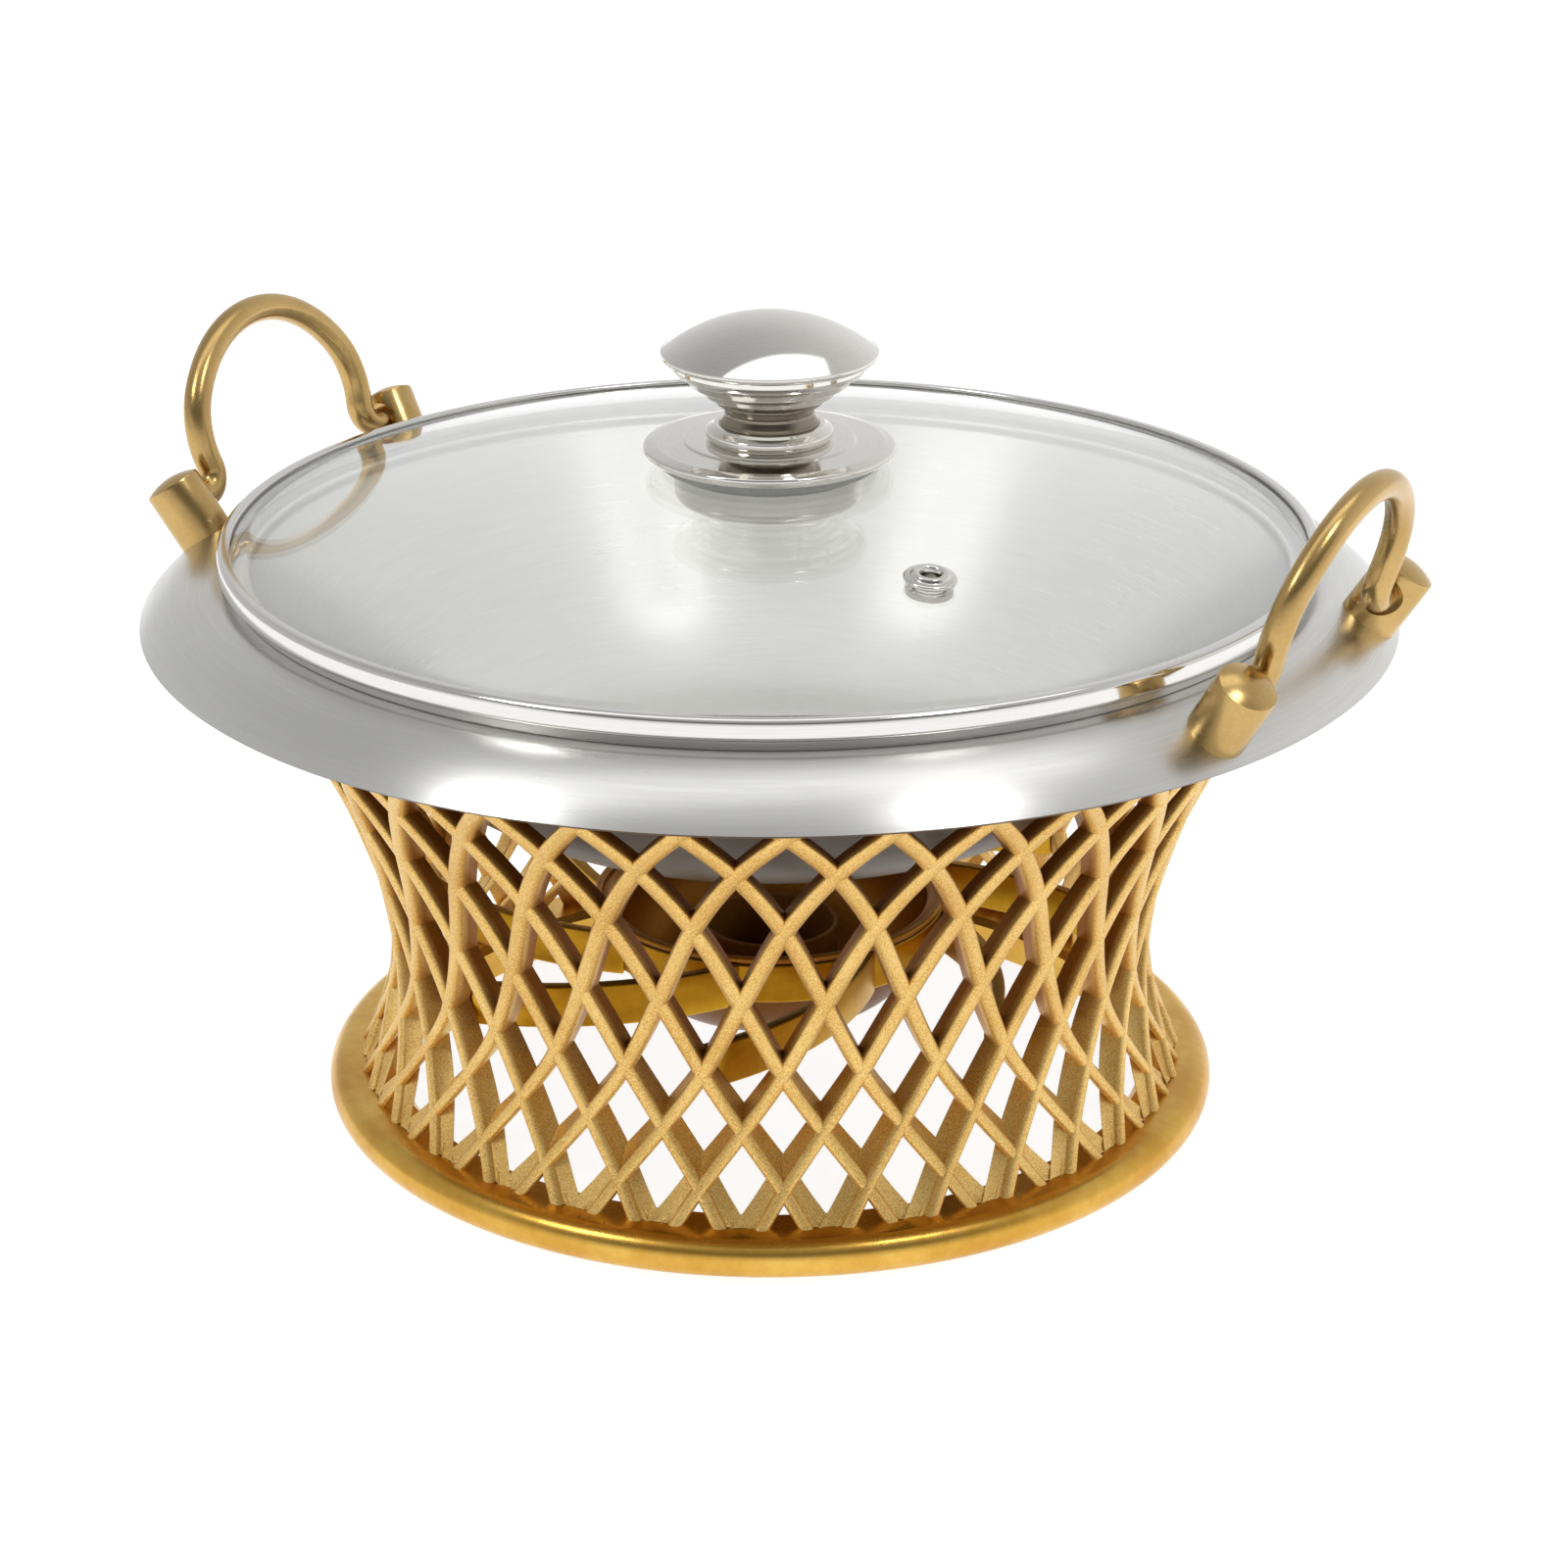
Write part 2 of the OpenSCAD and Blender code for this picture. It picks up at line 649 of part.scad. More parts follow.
module knob_plate() {
    r = plate_d / 2;
    color(polished) turned([
        [hole_r, plate_z], [r - 4, plate_z], [r - 2.6, plate_z + 0.5], [r - 2.2, plate_z + 1],
        [r - 1, plate_z + 1.3], [r - 0.3, plate_z + 1.9], [r, plate_z + 2.8], [r - 0.4, plate_z + 3.4],
        [r - 2, plate_z + 3.9], [r - 6, plate_z + 4.4], [r - 11, plate_z + 4.5], [r - 11.6, plate_h + plate_z],
        [hole_r, plate_h + plate_z]
    ]);
}

module knob_collar() {
    r = collar_d / 2;
    groove = 3;
    color(polished) rotate_extrude() difference() {
        union() {
            translate([hole_r, collar_z]) square([r - 2.2 - hole_r, collar_h]);
            translate([r - 2, collar_z + 2]) circle(r = 2);
        }
        translate([r - 2.2, collar_z + collar_h]) circle(r = groove / 4);
    }
}

module knob_stem() {
    r = stem_d / 2;
    flare = 2.5;
    low_a = 200;
    high_a = 150;
    color(polished) turned(concat(
        [[hole_r, stem_z], [r, stem_z]],
        arc([r + stem_h, stem_z + stem_h / 2 - 1], stem_h, low_a, high_a),
        [[r + flare, underplate_z - 1], [r + flare, underplate_z], [hole_r, underplate_z]]
    ));
}

module knob_underplate() {
    r = underplate_d / 2;
    r0 = stem_d / 2 + 2.5;
    h = underplate_h;
    w = r - r0;
    color(polished) turned([
        [hole_r, underplate_z], [r0, underplate_z], [r0 + w * 0.34, underplate_z + h * 0.2],
        [r0 + w * 0.34, underplate_z + h * 0.29], [r0 + w * 0.7, underplate_z + h * 0.5],
        [r0 + w * 0.7, underplate_z + h * 0.6], [r, underplate_z + h * 0.84], [r, cap_z], [hole_r, cap_z]
    ]);
}

module knob_cap() {
    r = cap_d / 2;
    edge_h = 1.6;
    dome = cap_h - edge_h;
    ball_r = (r * r + dome * dome) / (2 * dome);
    color(polished) difference() {
        turned(concat(
            [[0, cap_z], [r - 1.2, cap_z], [r - 0.2, cap_z + edge_h * 0.5]],
            arc([0, cap_z + cap_h - ball_r], ball_r, 90 - asin(r / ball_r), 90)
        ));
        translate([0, 0, cap_z - 1]) cylinder(r = knob_screw_d / 2 + cup_gap, h = screw_in_cap + 1.5);
    }
}

module inner_gasket() {
    r = inner_cup_d / 2;
    color(rubber) rotate_extrude() difference() {
        translate([r - 3, inner_rim_z]) square([3, 3]);
        polygon(concat(glass_line(glass_t), [[glass_edge_r, big], [0, big], [0, glass_line(glass_t)[0].y]]));
    }
}

module inner_cup() {
    r = inner_cup_d / 2;
    corner = 3;
    t = 1;
    boss_r = glass_hole_r + 3;
    color(steel) turned(concat(
        [[hole_r, inner_bottom_z]],
        arc([r - corner, inner_bottom_z + corner], corner, -90, 0),
        [[r, inner_rim_z], [r - t, inner_rim_z]],
        arc([r - corner, inner_bottom_z + corner], corner - t, 0, -90),
        [[boss_r, inner_bottom_z + t], [boss_r, inner_z - 0.3], [hole_r, inner_z - 0.3]]
    ));
}

module knob_screw() {
    head_r = knob_screw_d;
    shank = cap_z + screw_in_cap - inner_bottom_z;
    color(polished) difference() {
        union() {
            translate([0, 0, inner_bottom_z - screw_head_h]) cylinder(r = head_r, h = screw_head_h);
            translate([0, 0, inner_bottom_z]) cylinder(d = knob_screw_d, h = shank);
        }
        translate([0, 0, inner_bottom_z - screw_head_h - 1])
        cylinder(r = knob_screw_d / 2, h = 1 + screw_head_h * 0.6, $fn = 6);
    }
}

foot_ring();
lattice();
seat_ring();
cradle_ring();
for (i = [1:arms]) cradle_arm(i);
burner_bowl();
fuel_cup();
pan_body();
handle_post(1, -1);  // post_right_front
handle_post(1, 1);  // post_right_rear
handle_post(-1, -1);  // post_left_front
handle_post(-1, 1);  // post_left_rear
post_washers();
post_screws();
handle(1);  // handle_right
handle(-1);  // handle_left
lid_band();
lid_glass();
vent_eyelet();
vent_ring();
plate_gasket();
knob_plate();
knob_collar();
knob_stem();
knob_underplate();
knob_cap();
inner_gasket();
inner_cup();
knob_screw();
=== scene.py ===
"""A round table-top chafing pan on a lattice burner stand: finishes, modelled pieces, light and camera."""
import json
import logging
from dataclasses import dataclass, field
from enum import Enum
from math import asin, atan2, cos, degrees, hypot, pi, radians, sin, sqrt, tan
from typing import Callable, Sequence

import bmesh
import bpy
from mathutils import Matrix, Vector


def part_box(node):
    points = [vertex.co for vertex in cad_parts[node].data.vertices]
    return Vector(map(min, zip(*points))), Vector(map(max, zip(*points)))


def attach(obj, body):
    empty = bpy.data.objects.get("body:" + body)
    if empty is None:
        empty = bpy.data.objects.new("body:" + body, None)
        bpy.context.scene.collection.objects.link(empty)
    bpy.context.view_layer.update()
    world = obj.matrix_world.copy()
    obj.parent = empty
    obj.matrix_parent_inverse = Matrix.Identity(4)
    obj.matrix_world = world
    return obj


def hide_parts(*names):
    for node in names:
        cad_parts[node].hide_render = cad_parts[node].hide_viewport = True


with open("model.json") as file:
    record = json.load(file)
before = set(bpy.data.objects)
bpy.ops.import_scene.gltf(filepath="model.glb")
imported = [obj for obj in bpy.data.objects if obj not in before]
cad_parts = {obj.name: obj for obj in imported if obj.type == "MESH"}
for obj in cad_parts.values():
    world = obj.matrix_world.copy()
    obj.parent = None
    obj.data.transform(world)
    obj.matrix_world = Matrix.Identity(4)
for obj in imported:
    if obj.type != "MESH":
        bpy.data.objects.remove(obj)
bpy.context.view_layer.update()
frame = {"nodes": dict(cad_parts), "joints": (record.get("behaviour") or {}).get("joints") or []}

log = logging.getLogger("chafing_pan")

Point = tuple[float, float]
Colour = tuple[float, float, float]

MM = 0.001
SMOOTH_ANGLE = radians(35)
MERGE = 1e-6
PLAIN = (1.0, 1.0, 1.0)
MOST = 0.49  # largest share of an edge that one rounding takes


# ---------------------------------------------------------------- outlines


@dataclass(frozen=True)
class Corner:
    """One corner of a turned outline, with the radius that rounds it off.

    Args:
        r: Distance from the axis, in metres.
        z: Height, in metres.
        soft: Radius of the rounding, 0 for a sharp corner.
    """

    r: float
    z: float
    soft: float = 0.0


def arc(centre: Point, radius: float, start: float, end: float, steps: int = 10) -> list[Point]:
    """Points on an arc.

    Args:
        centre: Centre of the arc.
        radius: Its radius.
        start: First angle, in degrees.
        end: Last angle, in degrees.
        steps: Number of chords.

    Returns:
        The points, ends included.
    """
    turns = [radians(start + (end - start) * i / steps) for i in range(steps + 1)]
    return [(centre[0] + radius * cos(a), centre[1] + radius * sin(a)) for a in turns]


def softened(corners: Sequence[Corner], steps: int = 5) -> list[Point]:
    """A closed outline with each of its corners rounded.

    Args:
        corners: The corners, in order.
        steps: Number of chords in each rounding.

    Returns:
        The outline's points, in order, the first one not repeated.
    """
    outline: list[Point] = []
    count = len(corners)
    for i, here in enumerate(corners):
        if here.soft <= 0:
            outline.append((here.r, here.z))
            continue
        before, after = corners[i - 1], corners[(i + 1) % count]
        back = Vector((before.r - here.r, before.z - here.z))
        ahead = Vector((after.r - here.r, after.z - here.z))
        half = back.angle(ahead) / 2
        reach = min(here.soft / tan(half), back.length * MOST, ahead.length * MOST)
        radius = reach * tan(half)
        back.normalize()
        ahead.normalize()
        corner = Vector((here.r, here.z))
        centre = corner + (back + ahead).normalized() * radius / sin(half)
        first = corner + back * reach - centre
        last = corner + ahead * reach - centre
        sweep = atan2(first.x * last.y - first.y * last.x, first.dot(last))
        for k in range(steps + 1):
            turn = atan2(first.y, first.x) + sweep * k / steps
            outline.append((centre.x + radius * cos(turn), centre.y + radius * sin(turn)))
    return outline


def corners_mm(*rows: tuple[float, ...]) -> list[Corner]:
    """Corners from distances, heights and roundings in millimetres."""
    return [Corner(*(number * MM for number in row)) for row in rows]


def sheet(path: Sequence[Point], thickness: float) -> list[Point]:
    """Closed outline of a sheet that lies on the right of a path.

    Args:
        path: The path's points, the sheet's outer face.
        thickness: The sheet's thickness.

    Returns:
        The outline's points.
    """
    inner: list[Point] = []
    for i, (r, z) in enumerate(path):
        normals = []
        for a, b in ((i - 1, i), (i, i + 1)):
            if a >= 0 and b < len(path):
                run = Vector((path[b][0] - path[a][0], path[b][1] - path[a][1])).normalized()
                normals.append(Vector((run.y, -run.x)))
        mean = sum(normals, Vector((0, 0))) / len(normals)
        step = mean * thickness / mean.length_squared
        inner.append((r + step.x, z + step.y))
    return list(path) + inner[::-1]


# ---------------------------------------------------------------- modelling moves


def deselect_all() -> None:
    """Leaves nothing selected in object mode."""
    if bpy.context.mode != "OBJECT":
        bpy.ops.object.mode_set(mode="OBJECT")
    bpy.ops.object.select_all(action="DESELECT")


def take(piece: bpy.types.Object, *others: bpy.types.Object) -> None:
    """Selects pieces in object mode.

    Args:
        piece: The piece that becomes the active one.
        others: More pieces to select.
    """
    deselect_all()
    for one in (piece, *others):
        one.select_set(True)
    bpy.context.view_layer.objects.active = piece


def edit(piece: bpy.types.Object) -> None:
    """Opens a piece in edit mode with all of it selected."""
    take(piece)
    bpy.ops.object.mode_set(mode="EDIT")
    bpy.ops.mesh.select_mode(type="VERT")
    bpy.ops.mesh.select_all(action="SELECT")


def pick(piece: bpy.types.Object, test: Callable[[Vector], bool]) -> None:
    """Selects the vertices of a piece in edit mode whose places pass a test, and no others."""
    mesh = bmesh.from_edit_mesh(piece.data)
    for vert in mesh.verts:
        vert.select_set(test(vert.co))
    mesh.select_flush_mode()
    bmesh.update_edit_mesh(piece.data)


def close(piece: bpy.types.Object, name: str, smooth: float = SMOOTH_ANGLE) -> bpy.types.Object:
    """Merges doubles, turns the faces outwards and shades a piece.

    Args:
        piece: The piece, in edit mode or not.
        name: Its name.
        smooth: Largest angle between two faces that are shaded as one.

    Returns:
        The same piece, named, in object mode.
    """
    edit(piece)
    bpy.ops.mesh.remove_doubles(threshold=MERGE)
    bpy.ops.mesh.normals_make_consistent(inside=False)
    deselect_all()
    take(piece)
    bpy.ops.object.transform_apply(location=True, rotation=True, scale=True)
    bpy.ops.object.shade_smooth_by_angle(angle=smooth)
    piece.name = name
    piece.data.name = name
    return piece


def wire(points: Sequence[Point]) -> bpy.types.Object:
    """Draws an outline in the X-Z plane by extruding one vertex from point to point.

    Args:
        points: Distances from the axis and heights.

    Returns:
        The wire, still in edit mode, with all of it selected.
    """
    deselect_all()
    bpy.ops.mesh.primitive_plane_add(size=MM)
    piece = bpy.context.active_object
    edit(piece)
    bpy.ops.mesh.merge(type="CENTER")
    bpy.ops.transform.translate(value=(points[0][0], 0, points[0][1]))
    for (r0, z0), (r1, z1) in zip(points, points[1:]):
        bpy.ops.mesh.extrude_region_move(TRANSFORM_OT_translate={"value": (r1 - r0, 0, z1 - z0)})
    bpy.ops.mesh.select_all(action="SELECT")
    return piece


def turned(name: str, outline: Sequence[Point], steps: int = 128,
           smooth: float = SMOOTH_ANGLE) -> bpy.types.Object:
    """Turns a closed outline about the Z axis.

    Args:
        name: The piece's name.
        outline: The outline's points, in order.
        steps: Number of faces round the piece.
        smooth: Largest angle between two faces that are shaded as one.

    Returns:
        The closed, turned piece.
    """
    piece = wire([*outline, outline[0]])
    bpy.ops.mesh.remove_doubles(threshold=MERGE)
    bpy.ops.mesh.select_all(action="SELECT")
    bpy.ops.mesh.spin(steps=steps, angle=2 * pi, center=(0, 0, 0), axis=(0, 0, 1))
    return close(piece, name, smooth)


def turn_by(angle: float) -> None:
    """Turns what is selected about the Z axis, counter-clockwise seen from above."""
    bpy.ops.transform.rotate(value=-angle, orient_axis="Z", center_override=(0, 0, 0))


def placed(piece: bpy.types.Object, matrix: Matrix) -> bpy.types.Object:
    """Moves a piece and keeps its place in its mesh.

    Args:
        piece: The piece.
        matrix: Where it goes.

    Returns:
        The same piece, with its object at the origin.
    """
    take(piece)
    piece.matrix_world = matrix
    bpy.ops.object.transform_apply(location=True, rotation=True, scale=True)
    return piece


def copied(piece: bpy.types.Object, matrix: Matrix) -> bpy.types.Object:
    """A copy of a piece, with its own mesh, at another place."""
    take(piece)
    bpy.ops.object.duplicate()
    return placed(bpy.context.active_object, matrix)


def joined(pieces: Sequence[bpy.types.Object], name: str) -> bpy.types.Object:
    """Joins pieces that are one casting or one set of equal parts.

    Args:
        pieces: The pieces.
        name: The joined piece's name.

    Returns:
        The joined piece.
    """
    take(*pieces)
    bpy.ops.object.join()
    piece = bpy.context.active_object
    piece.name = name
    piece.data.name = name
    return piece


def applied(piece: bpy.types.Object, kind: str, **settings: object) -> bpy.types.Object:
    """Adds a modifier to a piece and applies it.

    Args:
        piece: The piece.
        kind: The modifier's type.
        settings: Values of the modifier's own properties.

    Returns:
        The same piece.
    """
    take(piece)
    modifier = piece.modifiers.new(kind.lower(), kind)
    for key, value in settings.items():
        setattr(modifier, key, value)
    bpy.ops.object.modifier_apply(modifier=modifier.name)
    return piece


def bored(piece: bpy.types.Object, cutter: bpy.types.Object) -> bpy.types.Object:
    """Cuts one piece with another, which is used up.

    Args:
        piece: The piece that is cut.
        cutter: The shape of the hole.

    Returns:
        The cut piece.
    """
    applied(piece, "BOOLEAN", operation="DIFFERENCE", solver="EXACT", object=cutter)
    bpy.data.objects.remove(cutter, do_unlink=True)
    return piece


def eased_copy(node: str, name: str, width: float) -> bpy.types.Object:
    """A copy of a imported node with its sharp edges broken.

    Args:
        node: The node's name.
        name: The new piece's name.
        width: Width of the bevel.

    Returns:
        The new piece.
    """
    source = frame["nodes"][node]
    mesh = source.data.copy()
    piece = bpy.data.objects.new(name, mesh)
    bpy.context.scene.collection.objects.link(piece)
    mesh.transform(source.matrix_world)
    mesh.materials.clear()
    edit(piece)
    bpy.ops.mesh.remove_doubles(threshold=MERGE * 10)
    bpy.ops.mesh.dissolve_limited(angle_limit=radians(1))
    deselect_all()
    applied(piece, "BEVEL", width=width, segments=3, limit_method="ANGLE", angle_limit=radians(40))
    return close(piece, name)


# ---------------------------------------------------------------- finishes


def mix_slots(node: bpy.types.Node, kind: str) -> list[bpy.types.NodeSocket]:
    """The A and B sockets of a Mix node for one kind of value.

    Args:
        node: The Mix node.
        kind: RGBA or VECTOR.

    Returns:
        The two sockets, A first.
    """
    return [slot for slot in node.inputs if slot.type == kind and slot.name in ("A", "B")]


def mix_result(node: bpy.types.Node, kind: str) -> bpy.types.NodeSocket:
    """The result's socket of a Mix node for one kind of value."""
    return next(slot for slot in node.outputs if slot.type == kind)


class Graph:
    """A material's node tree, built with short calls.

    LEVEL holds the heights of a normal at which a face counts as looking down and as level, for the painted
    shade.
    """

    LEVEL = (-0.12, 0.02)

    def __init__(self, name: str) -> None:
        """Starts a material with one Principled shader.

        Args:
            name: The material's name.
        """
        self.material = bpy.data.materials.new(name)
        self.material.use_nodes = True
        self.nodes = self.material.node_tree.nodes
        self.links = self.material.node_tree.links
        self.nodes.clear()
        self.output = self.nodes.new("ShaderNodeOutputMaterial")
        self.shader = self.nodes.new("ShaderNodeBsdfPrincipled")
        self.link(self.shader.outputs[0], self.output.inputs["Surface"])
        self.place = self.add("ShaderNodeTexCoord").outputs["Object"]

    def add(self, kind: str, **settings: object) -> bpy.types.Node:
        """Adds a node and sets its properties."""
        node = self.nodes.new(kind)
        for key, value in settings.items():
            setattr(node, key, value)
        return node

    def link(self, source: bpy.types.NodeSocket, target: bpy.types.NodeSocket) -> None:
        """Joins two sockets."""
        self.links.new(source, target)

    def set(self, **values: object) -> None:
        """Sets sockets of the Principled shader; an underscore stands for a space."""
        for key, value in values.items():
            self.shader.inputs[key.replace("_", " ")].default_value = value

    def math(self, operation: str, a: object, b: object = 0.0) -> bpy.types.NodeSocket:
        """A Math node.

        Args:
            operation: Its operation.
            a: A socket or a number.
            b: A socket or a number.

        Returns:
            The result's socket.
        """
        node = self.add("ShaderNodeMath", operation=operation)
        for slot, value in zip(node.inputs, (a, b)):
            if isinstance(value, bpy.types.NodeSocket):
                self.link(value, slot)
            else:
                slot.default_value = value
        return node.outputs[0]

    def noise(self, where: bpy.types.NodeSocket, scale: float,
              detail: float = 2.0, rough: float = 0.5) -> bpy.types.NodeSocket:
        """The value of a Noise texture."""
        node = self.add("ShaderNodeTexNoise")
        node.inputs["Scale"].default_value = scale
        node.inputs["Detail"].default_value = detail
        node.inputs["Roughness"].default_value = rough
        self.link(where, node.inputs["Vector"])
        return node.outputs[0]

    def spread(self, value: bpy.types.NodeSocket, low: float, high: float,
               start: float = 0.3, end: float = 0.7) -> bpy.types.NodeSocket:
        """Maps a value from start..end to low..high."""
        node = self.add("ShaderNodeMapRange")
        self.link(value, node.inputs["Value"])
        for key, number in (("From Min", start), ("From Max", end), ("To Min", low), ("To Max", high)):
            node.inputs[key].default_value = number
        return node.outputs["Result"]

    def blend(self, value: bpy.types.NodeSocket, low: Colour, high: Colour) -> bpy.types.NodeSocket:
        """A colour between two, by a value from 0 to 1."""
        node = self.add("ShaderNodeMix", data_type="RGBA")
        self.link(value, node.inputs["Factor"])
        for slot, colour in zip(mix_slots(node, "RGBA"), (low, high)):
            slot.default_value = (*colour, 1)
        return mix_result(node, "RGBA")

    def axes(self) -> tuple[bpy.types.NodeSocket, bpy.types.NodeSocket, bpy.types.NodeSocket]:
        """The place along X, Y and Z, each on its own."""
        split = self.add("ShaderNodeSeparateXYZ")
        self.link(self.place, split.inputs[0])
        return tuple(split.outputs)

    def distance(self) -> bpy.types.NodeSocket:
        """The place's distance from the Z axis."""
        x, y, _ = self.axes()
        return self.math("SQRT", self.math("ADD", self.math("MULTIPLY", x, x), self.math("MULTIPLY", y, y)))

    def shaded_below(self, colour: bpy.types.NodeSocket, share: Colour) -> bpy.types.NodeSocket:
        """Darkens a colour on the faces that look down.

        Args:
            colour: The colour.
            share: What is left of it there.

        Returns:
            The new colour, with painted shade on the faces that look down.
        """
        # Painted shade: a darker share of the colour on faces that look down.
        split = self.add("ShaderNodeSeparateXYZ")
        self.link(self.add("ShaderNodeNewGeometry").outputs["True Normal"], split.inputs[0])
        factor = self.blend(self.spread(split.outputs[2], 0.0, 1.0, *self.LEVEL), share, PLAIN)
        product = self.add("ShaderNodeVectorMath", operation="MULTIPLY")
        self.link(colour, product.inputs[0])
        self.link(factor, product.inputs[1])
        return product.outputs[0]

    def bump(self, height: bpy.types.NodeSocket, depth: float, strength: float = 1.0) -> None:
        """Raises the surface by a height pattern.

        Args:
            height: The pattern, from 0 to 1.
            depth: Height that 1 stands for, in metres.
            strength: Share of the effect.
        """
        node = self.add("ShaderNodeBump")
        node.inputs["Strength"].default_value = strength
        node.inputs["Distance"].default_value = depth
        self.link(height, node.inputs["Height"])
        self.link(node.outputs[0], self.shader.inputs["Normal"])

    def rings(self, fine: float, drift: float) -> bpy.types.NodeSocket:
        """A place that runs round the axis slowly and across the turning marks fast.

        Args:
            fine: Marks per metre, across them.
            drift: Change along a mark.

        Returns:
            A vector for a texture.
        """
        x, y, z = self.axes()
        pack = self.add("ShaderNodeCombineXYZ")
        self.link(self.math("MULTIPLY", self.distance(), fine), pack.inputs[0])
        self.link(self.math("MULTIPLY", z, fine), pack.inputs[1])
        turn = self.math("MULTIPLY", self.math("ARCTAN2", y, x), drift)
        self.link(turn, pack.inputs[2])
        return pack.outputs[0]


@dataclass(frozen=True)
class GrainedGold:
    """Gold paint on a sand-grained casting.

    Args:
        name: The material's name.
        light: Colour of the raised grain.
        deep: Colour between the grains.
        rough: Roughness of the paint.
        grain: Grains per metre.
        depth: Height of the grain, in metres.
        metallic: Share of metal flakes in the paint.
        shade: Colour of the painted shade on the sides of the holes, higher up.
        waist_z: Height of the wall's waist.
        waist_r: Radius of the wall's face there.
        flare: How much wider the wall is at its top.
        reach: How far the top lies above the waist.
        curve: Power of the wall's curve above the waist.
        sunk: How far behind the wall's face the painted shade starts and is full.
        height: Heights at which the painted shade starts and is full.
    """

    name: str
    light: Colour = (0.90, 0.63, 0.23)
    deep: Colour = (0.62, 0.34, 0.07)
    rough: float = 0.34
    grain: float = 2600.0
    depth: float = 0.00012
    metallic: float = 0.8
    shade: Colour = (0.40, 0.15, 0.015)
    waist_z: float = 46 * MM
    waist_r: float = 107.3 * MM
    flare: float = 33.7 * MM
    reach: float = 89 * MM
    curve: float = 1.7
    sunk: Point = (1.3 * MM, 3.2 * MM)
    height: Point = (40 * MM, 62 * MM)

    def inside(self, g: Graph) -> bpy.types.NodeSocket:
        """How deep a place lies in the upper wall, from 0 at its face to 1 in a hole.

        Args:
            g: The material's node tree.

        Returns:
            The value's socket, the mask of the painted shade.
        """
        _, _, z = g.axes()
        climb = g.math("DIVIDE", g.math("SUBTRACT", z, self.waist_z), self.reach)
        face = g.math("MULTIPLY", g.math("POWER", g.math("MAXIMUM", climb, 0.0), self.curve), self.flare)
        behind = g.math("SUBTRACT", g.math("ADD", face, self.waist_r), g.distance())
        sunk = g.spread(behind, 0.0, 1.0, *self.sunk)
        return g.math("MULTIPLY", sunk, g.spread(z, 0.0, 1.0, *self.height))

    def material(self) -> bpy.types.Material:
        """Builds the material."""
        g = Graph(self.name)
        fine = g.noise(g.place, self.grain, 3.0, 0.6)
        broad = g.noise(g.place, 45.0, 2.0)
        tone = g.math("ADD", g.math("MULTIPLY", fine, 0.8), g.math("MULTIPLY", broad, 0.2))
        paint = g.blend(g.spread(tone, 0.0, 1.0, 0.40, 0.57), self.deep, self.light)
        # Painted shade: the sides of the holes in the upper wall take the dark shade colour instead of the
        # gold.
        mixed = g.add("ShaderNodeMix", data_type="RGBA")
        g.link(self.inside(g), mixed.inputs["Factor"])
        front, back = mix_slots(mixed, "RGBA")
        g.link(paint, front)
        back.default_value = (*self.shade, 1)
        g.link(mix_result(mixed, "RGBA"), g.shader.inputs["Base Color"])
        g.link(g.spread(fine, self.rough + 0.1, self.rough - 0.06), g.shader.inputs["Roughness"])
        g.set(Metallic=self.metallic)
        g.bump(fine, self.depth)
        return g.material


@dataclass(frozen=True)
class SatinMetal:
    """A satin metal with fine scratches and a slow change of tone.

    Args:
        name: The material's name.
        light: Colour of the clean metal.
        deep: Colour of the tarnished metal.
        rough: Roughness.
        grain: Scratches per metre.
        depth: Height of the scratches, in metres.
        metallic: Share of bare metal, the rest being paint.
        under: Share of the colour that is left on faces that look down, as painted shade.
    """

    name: str
    light: Colour
    deep: Colour
    rough: float = 0.3
    grain: float = 700.0
    depth: float = 0.00002
    metallic: float = 1.0
    under: Colour = PLAIN

    def material(self) -> bpy.types.Material:
        """Builds the material."""
        g = Graph(self.name)
        fine = g.noise(g.place, self.grain, 4.0, 0.6)
        broad = g.noise(g.place, 38.0, 3.0)
        tone = g.math("ADD", g.math("MULTIPLY", fine, 0.3), g.math("MULTIPLY", broad, 0.7))
        metal = g.blend(g.spread(tone, 0.0, 1.0, 0.38, 0.6), self.deep, self.light)
        # Painted shade: faces that look down are darkened.
        if self.under != PLAIN:
            metal = g.shaded_below(metal, self.under)
        g.link(metal, g.shader.inputs["Base Color"])
        g.link(g.spread(tone, self.rough + 0.05, self.rough - 0.03), g.shader.inputs["Roughness"])
        g.set(Metallic=self.metallic)
        g.bump(fine, self.depth)
        return g.material


